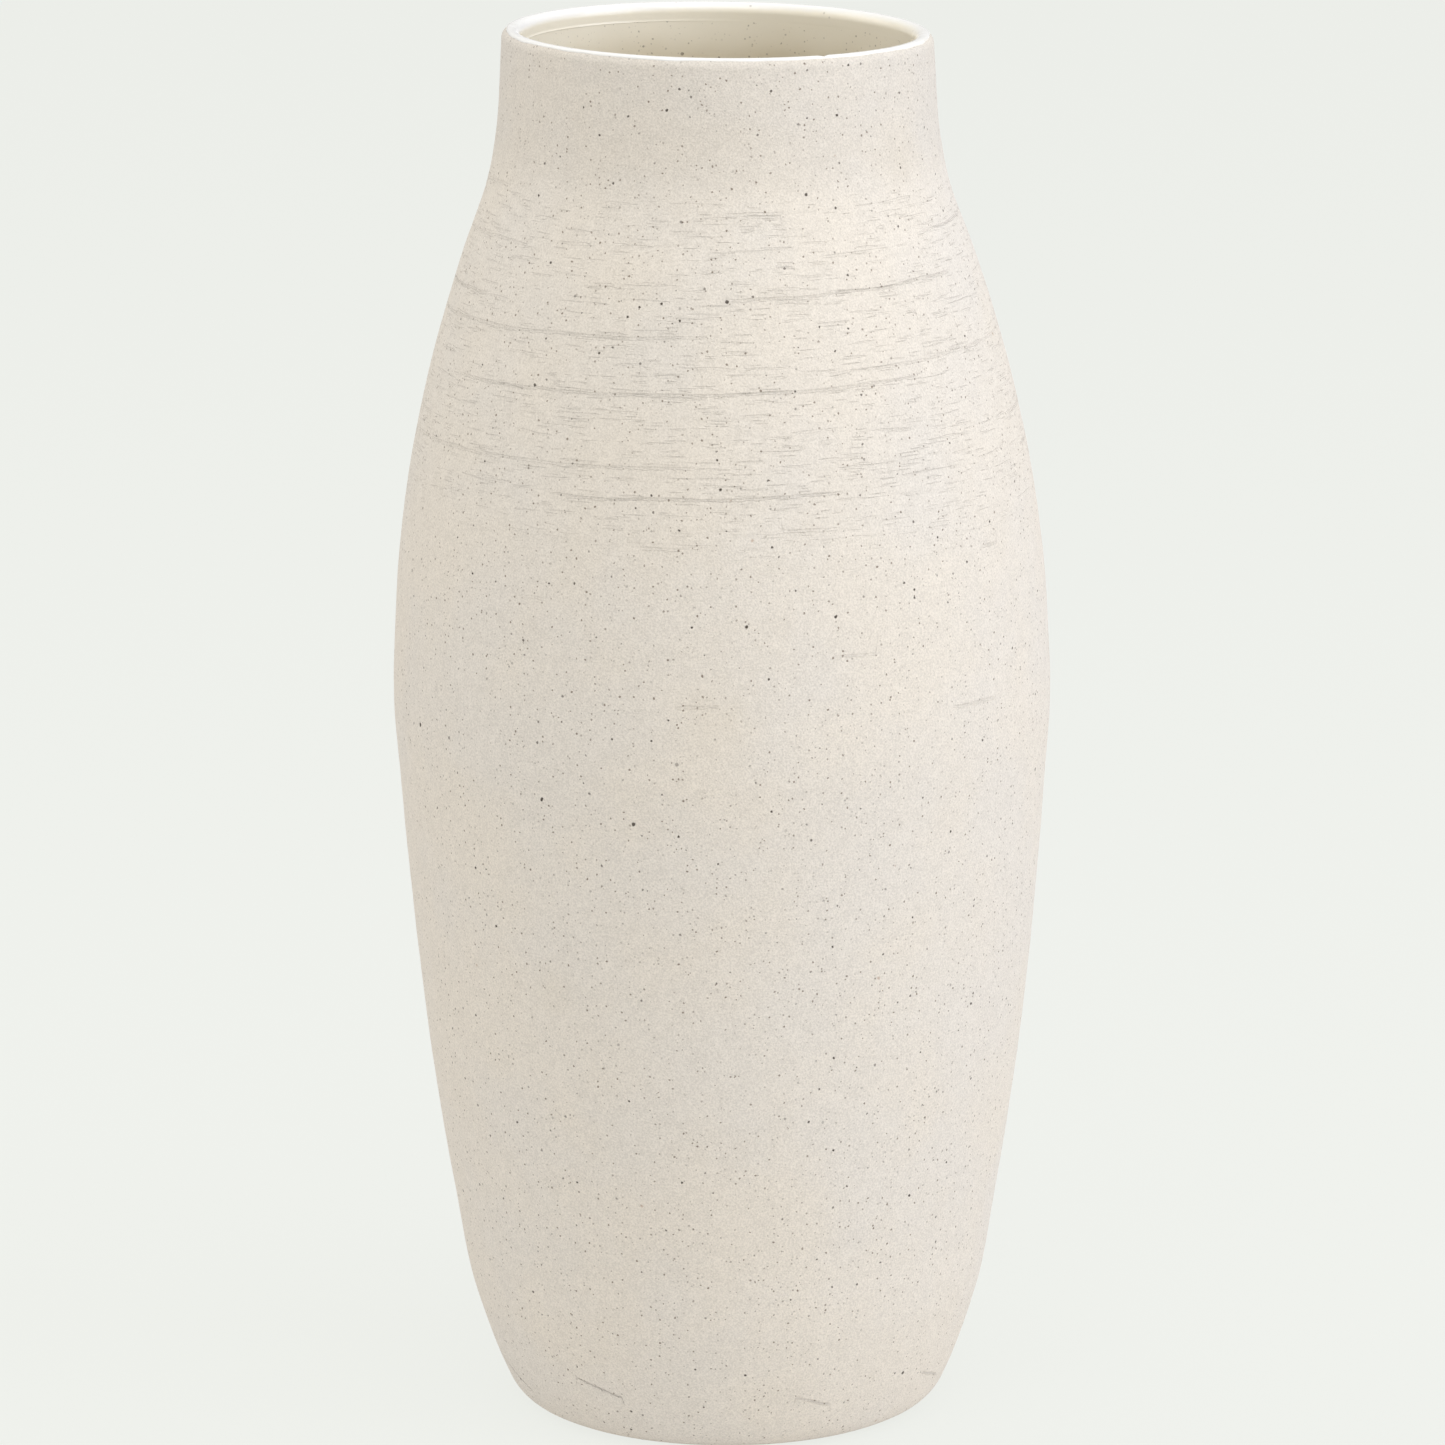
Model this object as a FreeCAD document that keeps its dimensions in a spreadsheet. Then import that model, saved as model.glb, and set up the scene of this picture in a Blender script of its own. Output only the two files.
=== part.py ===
"""Stoneware vase, thrown in sections: foot, belly, shoulder and a short neck, glazed inside and on the lip.

One closed outline of the clay wall is turned into a blank. Each section of the wall is the part of the
blank between two joints, and each joint keeps a thin ring of the slip that stuck it together.
Millimetres, +Z up, origin at the centre of the foot.
"""
import FreeCAD, Part
import math
import os

import Sketcher

# Driving sizes, in millimetres unless a line says degrees.
SIZES = [
    ("vase_height", 300.0, "from the foot to the top of the glazed lip"),
    ("belly_radius", 70.3, "outside radius at the widest point"),
    ("belly_height", 159.5, "height of the widest point"),
    ("belly_round", 287.0, "radius of the outline just below the widest point"),
    ("belly_band", 17.0, "height of that stretch of the outline"),
    ("heel_height", 31.5, "where the wall starts to turn in towards the foot"),
    ("heel_round", 111.0, "radius of the outline below that height"),
    ("corner_round", 8.4, "radius where the wall meets the foot"),
    ("foot_radius", 40.0, "outer edge of the flat foot ring"),
    ("foot_ring_width", 6.0, "width of the flat foot ring"),
    ("foot_recess", 1.2, "depth of the trimmed recess inside the foot ring"),
    ("neck_straight", 16.4, "from the top of the lip down to the end of the straight neck"),
    ("neck_lean", 3.0, "degrees that the straight neck leans inwards"),
    ("neck_bend", 69.0, "radius of the hollow bend between shoulder and neck"),
    ("throat_round", 50.0, "radius of the inside bend between shoulder and neck"),
    ("lip_radius", 43.85, "radius of the crest of the lip"),
    ("lip_round", 1.85, "radius of the rounded lip"),
    ("wall_thick", 5.0, "clay wall"),
    ("floor_thick", 8.0, "inside floor above the plane of the foot"),
    ("floor_round", 10.0, "radius of the inside corner between floor and wall"),
    ("seat_radius", 30.0, "rebate that holds the floor disc, in radius"),
    ("ledge_width", 3.0, "ledge that the floor disc rests on"),
    ("ledge_height", 4.4, "top of that ledge above the plane of the foot"),
    ("tongue_width", 2.6, "base of the V tongue in the joint at the widest point"),
    ("tongue_height", 1.8, "height of that tongue"),
    ("neck_joint_drop", 28.0, "from the top of the lip down to the bevelled neck joint"),
    ("bevel_angle", 35.0, "degrees of the bevelled neck joint"),
    ("slip_thick", 0.5, "slip left in each joint"),
    ("glaze_thick", 0.35, "glaze on the inside and on the lip"),
    ("glaze_edge_angle", 55.0, "degrees up the outside of the lip where its glaze ends"),
    ("lip_glaze_depth", 4.0, "from the top of the lip down to the end of its own glaze inside"),
    ("tool_margin", 12.0, "how far the cutting shapes reach past the wall"),
]

SLOPE_ROUNDS = 60
START = 1
END = 2
CENTRE = 3
X_AXIS = -1
Z_AXIS = -2

doc = FreeCAD.newDocument("vase")
sheet = doc.addObject("Spreadsheet::Sheet", "sizes")
for row, (alias, value, meaning) in enumerate(SIZES, start=1):
    sheet.set(f"A{row}", meaning)
    sheet.set(f"B{row}", str(value))
    sheet.setAlias(f"B{row}", alias)
doc.recompute()


def size(alias):
    """The value of one driving size."""
    return float(sheet.get(alias))


def point(radius, height):
    return FreeCAD.Vector(radius, height, 0)


def polar(centre, radius, angle):
    """The point at an angle, in radians, on a circle."""
    return centre + point(radius * math.cos(angle), radius * math.sin(angle))


# ---- where the outline starts: the tangent chain, worked out from the sizes ----

def meet_from(centre, toward, radius):
    """The point of a circle that lies on the line from its centre through another centre."""
    return centre + (toward - centre).normalize() * radius


def outer_chain():
    """Centres, radii and ends of the tangent arcs up the outside, from the foot to the lip."""
    wide = point(size("belly_radius"), size("belly_height"))
    corner_c = point(size("foot_radius"), size("corner_round"))
    belly_c = wide - point(size("belly_round"), 0)
    band_angle = math.asin(size("belly_band") / size("belly_round"))
    band = polar(belly_c, size("belly_round"), -band_angle)

    # The slope at the heel suits both the arc above it and the arc below it.
    reach = size("heel_round") - size("corner_round")
    slope = band_angle
    for _ in range(SLOPE_ROUNDS):
        rise = size("heel_height") - size("corner_round") + size("heel_round") * math.sin(slope)
        corner_angle = math.asin(rise / reach)
        heel_radius = corner_c.x - reach * math.cos(corner_angle) + size("heel_round") * math.cos(slope)
        slope = 2 * math.atan((band.x - heel_radius) / (band.y - size("heel_height"))) - band_angle
    heel = point(heel_radius, size("heel_height"))
    heel_c = polar(heel, size("heel_round"), math.pi - slope)
    chord = band - heel
    to_centre = (belly_c - band).normalize()
    wall_round = -chord.dot(chord) / (2 * to_centre.dot(chord))
    wall_c = band + to_centre * wall_round

    lean = math.radians(size("neck_lean"))
    lip_c = point(size("lip_radius"), size("vase_height") - size("glaze_thick") - size("lip_round"))
    lip_start = polar(lip_c, size("lip_round"), lean)
    neck_foot_height = size("vase_height") - size("neck_straight")
    neck_foot = point(lip_start.x + (lip_start.y - neck_foot_height) * math.tan(lean), neck_foot_height)
    bend_c = polar(neck_foot, size("neck_bend"), lean)
    out = bend_c.x - wide.x
    up = bend_c.y - wide.y
    shoulder_round = (out**2 + up**2 - size("neck_bend")**2) / (2 * (size("neck_bend") - out))
    shoulder_c = wide - point(shoulder_round, 0)
    shoulder_top = meet_from(shoulder_c, bend_c, shoulder_round)
    return {
        "corner": (corner_c, point(corner_c.x, 0), meet_from(corner_c, heel_c, -size("corner_round"))),
        "heel": (heel_c, meet_from(heel_c, corner_c, size("heel_round")), heel),
        "wall": (wall_c, heel, band),
        "belly": (belly_c, band, wide),
        "shoulder": (shoulder_c, wide, shoulder_top),
        "bend": (bend_c, shoulder_top, neck_foot),
        "lip": (lip_c, lip_start, polar(lip_c, size("lip_round"), math.pi)),
    }


def inner_chain(outer, depth):
    """The same chain inside the wall, at a depth below the outside, from the lip down to the floor."""
    shoulder_c = outer["shoulder"][0]
    lip_c = outer["lip"][0]
    bore = lip_c.x - size("lip_round") - depth + size("wall_thick")
    throat = size("throat_round") + depth - size("wall_thick")
    shoulder_round = size("belly_radius") - depth - shoulder_c.x
    across = bore + throat - shoulder_c.x
    throat_c = point(bore + throat, shoulder_c.y + math.sqrt((shoulder_round + throat)**2 - across**2))
    fillet = size("floor_round") - depth + size("wall_thick")
    floor = size("floor_thick") + depth - size("wall_thick")
    heel_c = outer["heel"][0]
    heel_round = size("heel_round") - depth
    drop = floor + fillet - heel_c.y
    fillet_c = point(heel_c.x + math.sqrt((heel_round - fillet)**2 - drop**2), floor + fillet)
    throat_end = meet_from(throat_c, shoulder_c, throat)
    wide = point(size("belly_radius") - depth, size("belly_height"))
    band = meet_from(outer["belly"][0], outer["wall"][2], (wide - outer["belly"][0]).Length)
    wall_round = (band - outer["wall"][0]).Length
    heel = meet_from(outer["wall"][0], outer["wall"][1], wall_round)
    heel_end = meet_from(heel_c, fillet_c, heel_round)
    return {
        "bore": (point(bore, lip_c.y), point(bore, throat_c.y)),
        "throat": (throat_c, point(bore, throat_c.y), throat_end),
        "shoulder": (shoulder_c, throat_end, wide),
        "belly": (outer["belly"][0], wide, band),
        "wall": (outer["wall"][0], band, heel),
        "heel": (heel_c, heel, heel_end),
        "fillet": (fillet_c, heel_end, point(fillet_c.x, floor)),
        "floor": (point(fillet_c.x, floor), point(0, floor)),
    }


# ---- sketches ----

class Outline:
    """A sketch in the plane of radius and height, with every size bound to the sheet."""

    def __init__(self, body, name):
        self.sketch = body.newObject("Sketcher::SketchObject", name)
        plane = [item for item in body.Origin.OriginFeatures if item.Role == "XZ_Plane"][0]
        self.sketch.AttachmentSupport = [(plane, "")]
        self.sketch.MapMode = "FlatFace"

    def line(self, start, end, helper=False):
        """Add a line and return its three things to join to: number, first end, last end."""
        number = self.sketch.addGeometry(Part.LineSegment(start, end), helper)
        return (number, START, END)

    def arc(self, centre, start, end, helper=False):
        """Add the arc of less than half a turn from start to end, whichever way it runs."""
        radius = (start - centre).Length
        first = math.atan2(start.y - centre.y, start.x - centre.x)
        last = math.atan2(end.y - centre.y, end.x - centre.x)
        forwards = (start - centre).cross(end - centre).z >= 0
        if not forwards:
            first, last = last, first
        circle = Part.Circle(centre, FreeCAD.Vector(0, 0, 1), radius)
        number = self.sketch.addGeometry(Part.ArcOfCircle(circle, first, last), helper)
        return (number, START, END) if forwards else (number, END, START)

    def fix(self, *what):
        return self.sketch.addConstraint(Sketcher.Constraint(*what))

    def bind(self, expression, *what):
        """Add a dimension whose value the sheet gives."""
        index = self.fix(*what, self.measure(*what))
        self.sketch.renameConstraint(index, f"size_{index}")
        self.sketch.setExpression(f"Constraints.size_{index}", expression)

    def measure(self, kind, number, *rest):
        """The present value of a dimension, so that binding it moves nothing."""
        shape = self.sketch.Geometry[number]
        if kind == "Radius":
            return shape.Radius
        if kind == "Angle":
            return math.atan2(shape.EndPoint.y - shape.StartPoint.y, shape.EndPoint.x - shape.StartPoint.x)
        where = self.sketch.getPoint(number, rest[0])
        return where.x if kind == "DistanceX" else where.y

    def place(self, item, end, radius=None, height=None):
        """Bind the radius or the height of a point, or put it on an axis."""
        for kind, axis, expression in (("DistanceX", Z_AXIS, radius), ("DistanceY", X_AXIS, height)):
            if expression == "0":
                self.fix("PointOnObject", item, end, axis)
            elif expression:
                self.bind(expression, kind, item, end)

    def tangent(self, before, after):
        """Join the end of one curve smoothly to the start of the next."""
        self.fix("Tangent", before[0], before[2], after[0], after[1])

    def join(self, before, after):
        self.fix("Coincident", before[0], before[2], after[0], after[1])

    def revolve(self, body, name):
        turned = body.newObject("PartDesign::Revolution", name)
        turned.Profile = self.sketch
        turned.ReferenceAxis = (self.sketch, ["V_Axis"])
        turned.Angle = 360
        self.sketch.Visibility = False


def draw_outside(outline, chain, helper):
    """The outside of the wall from the foot up over the lip."""
    parts = {}
    for name in ("corner", "heel", "wall", "belly", "shoulder", "bend"):
        parts[name] = outline.arc(*chain[name], helper)
    parts["neck"] = outline.line(chain["bend"][2], chain["lip"][1], helper)
    parts["lip"] = outline.arc(*chain["lip"], helper)
    order = ["corner", "heel", "wall", "belly", "shoulder", "bend", "neck", "lip"]
    for before, after in zip(order, order[1:]):
        outline.tangent(parts[before], parts[after])
    corner, heel, wall, belly, bend, lip = (
        parts[name] for name in ("corner", "heel", "wall", "belly", "bend", "lip"))
    outline.bind("sizes.corner_round", "Radius", corner[0])
    outline.place(corner[0], CENTRE, "sizes.foot_radius", "sizes.corner_round")
    outline.bind("sizes.heel_round", "Radius", heel[0])
    outline.place(heel[0], heel[2], None, "sizes.heel_height")
    outline.place(wall[0], wall[2], None, "sizes.belly_height - sizes.belly_band")
    outline.bind("sizes.belly_round", "Radius", belly[0])
    outline.place(belly[0], belly[2], "sizes.belly_radius", "sizes.belly_height")
    outline.place(belly[0], CENTRE, None, "sizes.belly_height")
    outline.bind("sizes.neck_bend", "Radius", bend[0])
    outline.place(bend[0], bend[2], None, "sizes.vase_height - sizes.neck_straight")
    outline.bind("90 deg + sizes.neck_lean * 1 deg", "Angle", parts["neck"][0])
    outline.bind("sizes.lip_round", "Radius", lip[0])
    outline.place(lip[0], CENTRE, "sizes.lip_radius",
                  "sizes.vase_height - sizes.glaze_thick - sizes.lip_round")
    return parts


def draw_inside(outline, outside, chain, depth, floor, throat, fillet):
    """The inside of the wall from the lip down to the axis, concentric with the outside."""
    parts = {"bore": outline.line(*chain["bore"])}
    for name in ("throat", "shoulder", "belly", "wall", "heel", "fillet"):
        parts[name] = outline.arc(*chain[name])
    parts["floor"] = outline.line(*chain["floor"])
    order = list(parts)
    for before, after in zip(order, order[1:]):
        outline.tangent(parts[before], parts[after])
    for name in ("shoulder", "belly", "wall", "heel"):
        outline.fix("Coincident", parts[name][0], CENTRE, outside[name][0], CENTRE)
    outline.fix("Vertical", parts["bore"][0])
    outline.bind(throat, "Radius", parts["throat"][0])
    outline.bind(fillet, "Radius", parts["fillet"][0])
    outline.place(parts["belly"][0], parts["belly"][1], f"sizes.belly_radius - ({depth})")
    outline.fix("Horizontal", parts["floor"][0])
    outline.place(parts["floor"][0], END, "0", floor)
    return parts


def clay_blank():
    """The whole clay wall and floor, before it is parted at the joints."""
    body = doc.addObject("PartDesign::Body", "clay_blank")
    outline = Outline(body, "clay_outline")
    chain = outer_chain()
    outside = draw_outside(outline, chain, False)
    inside = draw_inside(outline, outside, inner_chain(chain, size("wall_thick")), "sizes.wall_thick",
                         "sizes.floor_thick", "sizes.throat_round", "sizes.floor_round")
    outline.tangent(outside["lip"], inside["bore"])

    recess = size("foot_recess")
    ring_edge = size("foot_radius") - size("foot_ring_width")
    middle = outline.line(point(0, size("floor_thick")), point(0, recess))
    underside = outline.line(point(0, recess), point(ring_edge - recess, recess))
    slope = outline.line(point(ring_edge - recess, recess), point(ring_edge, 0))
    foot = outline.line(point(ring_edge, 0), point(size("foot_radius"), 0))
    run = [inside["floor"], middle, underside, slope, foot]
    for before, after in zip(run, run[1:]):
        outline.join(before, after)
    outline.tangent(foot, outside["corner"])
    outline.place(underside[0], START, "0", "sizes.foot_recess")
    outline.fix("Horizontal", underside[0])
    outline.place(underside[0], END, "sizes.foot_radius - sizes.foot_ring_width - sizes.foot_recess")
    outline.place(foot[0], START, "sizes.foot_radius - sizes.foot_ring_width", "0")
    outline.revolve(body, "clay_turned")
    return body


def glaze_blank():
    """The glaze skin over the lip, down the inside and over the floor."""
    body = doc.addObject("PartDesign::Body", "glaze_blank")
    outline = Outline(body, "glaze_outline")
    chain = outer_chain()
    glaze = size("glaze_thick")
    lip_c, lip_start, lip_end = chain["lip"]
    edge_angle = math.radians(size("glaze_edge_angle"))
    clay_edge = polar(lip_c, size("lip_round"), edge_angle)
    glaze_edge = polar(lip_c, size("lip_round") + glaze, edge_angle)
    chain["lip"] = (lip_c, lip_start, clay_edge)
    outside = draw_outside(outline, chain, True)
    outline.place(outside["corner"][0], outside["corner"][1], "sizes.foot_radius")
    under = draw_inside(outline, outside, inner_chain(chain, size("wall_thick")), "sizes.wall_thick",
                        "sizes.floor_thick", "sizes.throat_round", "sizes.floor_round")
    over = draw_inside(outline, outside, inner_chain(chain, size("wall_thick") + glaze),
                       "sizes.wall_thick + sizes.glaze_thick", "sizes.floor_thick + sizes.glaze_thick",
                       "sizes.throat_round + sizes.glaze_thick", "sizes.floor_round - sizes.glaze_thick")
    clay_lip = outline.arc(lip_c, clay_edge, lip_end)
    glaze_lip = outline.arc(lip_c, glaze_edge, polar(lip_c, size("lip_round") + glaze, math.pi))
    edge = outline.line(clay_edge, glaze_edge)
    middle = outline.line(point(0, size("floor_thick")), point(0, size("floor_thick") + glaze))
    for lip, bore in ((clay_lip, under["bore"]), (glaze_lip, over["bore"])):
        outline.tangent(lip, bore)
        outline.fix("Coincident", lip[0], CENTRE, outside["lip"][0], CENTRE)
    outline.join(outside["lip"], clay_lip)
    outline.bind("sizes.lip_round + sizes.glaze_thick", "Radius", glaze_lip[0])
    outline.fix("Coincident", edge[0], START, clay_lip[0], clay_lip[1])
    outline.fix("Coincident", edge[0], END, glaze_lip[0], glaze_lip[1])
    outline.bind("sizes.glaze_edge_angle * 1 deg", "Angle", edge[0])
    outline.fix("PointOnObject", outside["lip"][0], CENTRE, edge[0])
    outline.join(under["floor"], middle)
    outline.fix("Coincident", middle[0], END, over["floor"][0], END)
    outline.revolve(body, "glaze_turned")
    return body


# ---- joints: each is a run of corners in radius and height, as the sheet names them ----

START_MIDDLE = point(50, 50)
START_RADIUS = 40


def turned_tool(name, corners):
    """A turned cutting shape from corners given as expressions of radius and height."""
    body = doc.addObject("PartDesign::Body", name)
    outline = Outline(body, name + "_outline")
    count = len(corners)
    # Any simple closed start will do: the bound sizes place every corner.
    ring = [polar(START_MIDDLE, START_RADIUS, 2 * math.pi * index / count) for index in range(count)]
    sides = [outline.line(ring[index], ring[(index + 1) % count]) for index in range(count)]
    for index, side in enumerate(sides):
        outline.join(side, sides[(index + 1) % count])
    for side, (radius, height) in zip(sides, corners):
        outline.place(side[0], START, radius, height)
    outline.revolve(body, name + "_turned")
    return body


BELOW = "-sizes.tool_margin"
ABOVE = "sizes.vase_height + sizes.tool_margin"
BEYOND = "sizes.belly_radius + sizes.tool_margin"
TONGUE_MIDDLE = "sizes.belly_radius - sizes.wall_thick / 2"


def seat_line(gap):
    """The stepped rebate round the floor disc, from below upwards, drawn in by a gap."""
    bore = f"sizes.seat_radius - sizes.ledge_width - ({gap})"
    seat = f"sizes.seat_radius - ({gap})"
    ledge = f"sizes.ledge_height + ({gap})"
    return [(bore, BELOW), (bore, ledge), (seat, ledge), (seat, "sizes.floor_thick + sizes.tool_margin")]


def belly_line(lift):
    """The V tongue across the wall at the widest point, from the axis outwards, raised by a lift."""
    base = f"sizes.belly_height + ({lift})"
    return [
        ("0", base),
        (f"{TONGUE_MIDDLE} - sizes.tongue_width / 2", base),
        (TONGUE_MIDDLE, f"{base} + sizes.tongue_height"),
        (f"{TONGUE_MIDDLE} + sizes.tongue_width / 2", base),
        (BEYOND, base),
    ]


def neck_line(lift):
    """The bevel across the wall under the neck, from the axis outwards, raised by a lift."""
    middle = f"sizes.vase_height - sizes.neck_joint_drop + ({lift})"
    rise = "sizes.tool_margin * tan(sizes.bevel_angle)"
    return [
        ("0", f"{middle} + {rise}"),
        ("sizes.lip_radius - sizes.tool_margin", f"{middle} + {rise}"),
        ("sizes.lip_radius + sizes.tool_margin", f"{middle} - {rise}"),
        (BEYOND, f"{middle} - {rise}"),
    ]


def band(lower, upper):
    """The closed run of corners between a lower line and an upper line."""
    return lower + upper[::-1]


SLIP = "sizes.slip_thick"
TOP_LINE = [("0", ABOVE), (BEYOND, ABOVE)]
SEAT = seat_line("0")
CLAY_SECTIONS = {
    "floor_disc": [("0", BELOW)] + seat_line(SLIP) + [("0", "sizes.floor_thick + sizes.tool_margin")],
    "lower_wall": SEAT + [(SEAT[-1][0], "sizes.belly_height")] + belly_line("0")[1:] + [(BEYOND, BELOW)],
    "shoulder_wall": band(belly_line(SLIP), neck_line("0")),
    "neck_collar": band(neck_line(SLIP), TOP_LINE),
    "floor_slip": band(SEAT, seat_line(SLIP)),
    "belly_slip": band(belly_line("0"), belly_line(SLIP)),
    "neck_slip": band(neck_line("0"), neck_line(SLIP)),
}


def shared_piece(kind, name, blank, tool):
    """A piece of a blank: what it shares with a cutting shape, or what the shape leaves of it."""
    piece = doc.addObject(kind, name)
    piece.Label = name
    piece.Base = blank
    piece.Tool = tool
    return piece


clay = clay_blank()
glaze = glaze_blank()
pieces = []
for node, corners in CLAY_SECTIONS.items():
    tool = turned_tool(node + "_region", corners)
    pieces.append(shared_piece("Part::Common", node, clay, tool))

lip_line = "sizes.vase_height - sizes.lip_glaze_depth"
lip_region = turned_tool("lip_region", [("0", lip_line), (BEYOND, lip_line)] + TOP_LINE[::-1])
pieces.append(shared_piece("Part::Common", "lip_glaze", glaze, lip_region))
pieces.append(shared_piece("Part::Cut", "liner_glaze", glaze, lip_region))
doc.recompute()

# ---- checks and files ----

for item in doc.Objects:
    if "Invalid" in item.State or "Error" in item.State:
        raise RuntimeError(f"{item.Name} did not compute: {item.State}")
    if item.TypeId == "Sketcher::SketchObject" and not item.FullyConstrained:
        raise RuntimeError(f"{item.Name} has a size that nothing sets")

os.makedirs("parts", exist_ok=True)
for piece in pieces:
    shape = piece.Shape
    if shape.isNull() or not shape.isValid() or len(shape.Solids) != 1:
        raise RuntimeError(f"{piece.Label} is not one valid solid")
for piece in pieces:
    piece.Shape.exportStep(os.path.join("parts", piece.Label + ".step"))
    low, high = piece.Shape.BoundBox.ZMin, piece.Shape.BoundBox.ZMax
    print(f"{piece.Label}: {piece.Shape.Volume / 1000:.2f} cm3, height {low:.2f} to {high:.2f} mm")
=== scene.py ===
"""Looks of a thrown stoneware vase, built around its packed clay sections and glaze."""
import math

import bmesh
import bpy
import numpy as np
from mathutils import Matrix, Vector
from mathutils.bvhtree import BVHTree


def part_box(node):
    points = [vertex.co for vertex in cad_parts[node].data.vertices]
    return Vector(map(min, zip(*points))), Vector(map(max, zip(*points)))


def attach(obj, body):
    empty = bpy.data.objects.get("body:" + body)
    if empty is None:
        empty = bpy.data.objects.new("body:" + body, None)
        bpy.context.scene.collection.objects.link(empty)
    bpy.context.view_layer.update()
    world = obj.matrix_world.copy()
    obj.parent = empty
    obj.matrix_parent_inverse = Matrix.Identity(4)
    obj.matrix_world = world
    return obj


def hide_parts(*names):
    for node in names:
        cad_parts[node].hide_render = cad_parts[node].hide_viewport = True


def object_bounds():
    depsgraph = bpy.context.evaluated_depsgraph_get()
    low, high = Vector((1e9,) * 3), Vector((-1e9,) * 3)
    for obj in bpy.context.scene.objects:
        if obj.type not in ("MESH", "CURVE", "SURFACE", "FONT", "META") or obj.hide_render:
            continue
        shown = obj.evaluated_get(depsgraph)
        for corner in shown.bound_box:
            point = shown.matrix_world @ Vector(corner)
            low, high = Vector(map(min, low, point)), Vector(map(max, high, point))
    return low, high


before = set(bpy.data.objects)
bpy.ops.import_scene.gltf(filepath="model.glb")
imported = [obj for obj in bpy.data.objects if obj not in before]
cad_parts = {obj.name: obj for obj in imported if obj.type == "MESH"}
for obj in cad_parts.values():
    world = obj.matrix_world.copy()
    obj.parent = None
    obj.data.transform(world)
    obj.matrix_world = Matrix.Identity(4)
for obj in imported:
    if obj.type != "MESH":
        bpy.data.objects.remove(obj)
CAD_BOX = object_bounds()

bl_info = {
    "name": "Thrown Stoneware Vase",
    "version": (1, 0, 0),
    "blender": (4, 5, 0),
    "location": "3D View > Sidebar > Vase",
    "description": "Turns the clay sections of a vase, glazes them and lights them",
    "category": "Object",
}

MM = 0.001
CLAY_NODES = ("lower_wall", "shoulder_wall", "neck_collar", "floor_disc")
VASE_HEIGHT = CAD_BOX[1].z
BELLY_RADIUS = CAD_BOX[1].y
FAR_OUT = 3 * BELLY_RADIUS
LEVEL_RAYS = 12
RAY_TURN = 0.37

# Unevenness left by the hands: waves up the wall, each shorter and shallower than the one before.
SWELL_WAVES = 5
SWELL_LENGTH = 0.42 * VASE_HEIGHT
SWELL_DEPTH = 0.16 * MM
SWELL_SEED = 5

# The stretch of wall that was worked with a tool, in mm: the upper part of the shoulder.
SHOULDER_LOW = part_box("shoulder_wall")[0].z / MM
SHOULDER_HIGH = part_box("neck_collar")[0].z / MM
TOOLED_SHARE = 0.6
TOOLED_LOW = SHOULDER_HIGH - TOOLED_SHARE * (SHOULDER_HIGH - SHOULDER_LOW)
TOOLED_HIGH = SHOULDER_HIGH
TOOLED_FADE = 10.0
NECK_EDGE = 3.0
NECK_FADE = 9.0

# How many marks of each kind there are round the whole vase.
LONG_GROOVES = 13
SHORT_SCRATCHES = 44
FOOT_CRACKS = 9
IRON_SPOTS = 20
STAINS = 6

# Sizes of the marks: turns in degrees, everything else in mm.
GOLDEN_TURN = 137.508
GROOVE_SWEEP = (45.0, 165.0)
GROOVE_DEPTH = (0.06, 0.12)
GROOVE_RISE = 0.024
SCRATCH_SWEEP = (3.0, 13.0)
SCRATCH_DEPTH = (0.05, 0.10)
CRACK_SWEEP = (8.0, 18.0)
CRACK_DEPTH = (0.12, 0.18)
CRACK_START = (9.0, 16.0)
CRACK_DROP = (3.0, 5.0)
SPOT_RADIUS = (0.28, 0.44)
STAIN_RADIUS = (3.0, 6.0)
STAIN_STRENGTH = (0.30, 0.45)


# --- reading the frame -------------------------------------------------------------------


def frame_tree(*names):
    """One ray-cast tree over the faces of these CAD nodes."""
    points = []
    faces = []
    for name in names:
        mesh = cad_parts[name].data
        first = len(points)
        points.extend(vertex.co.copy() for vertex in mesh.vertices)
        faces.extend([first + corner for corner in face.vertices] for face in mesh.polygons)
    return BVHTree.FromPolygons(points, faces)


def level_reach(tree, height, outside):
    """Radius that level rays meet at this height, from outside or from the axis; 0 for a miss."""
    best = 0.0
    for step in range(LEVEL_RAYS):
        turn = 2 * math.pi * (step + RAY_TURN) / LEVEL_RAYS
        way = Vector((math.cos(turn), math.sin(turn), 0))
        start = way * FAR_OUT if outside else Vector((0, 0, 0))
        start.z = height
        hit = tree.ray_cast(start, -way if outside else way)[0]
        if hit is not None:
            best = max(best, math.hypot(hit.x, hit.y))
    return best


def seam_height(lower, upper, lowest, highest, outside):
    """Height of the joint between two sections, on the outside or the inside of the clay."""
    lower_tree = frame_tree(lower)
    upper_tree = frame_tree(upper)
    low = lowest
    high = highest
    for _ in range(18):
        middle = (low + high) / 2
        below = level_reach(lower_tree, middle, outside)
        above = level_reach(upper_tree, middle, outside)
        if outside:
            is_upper = above > below
        else:
            is_upper = above > 0 and (below == 0 or above < below)
        if is_upper:
            high = middle
        else:
            low = middle
    return (low + high) / 2


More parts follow.
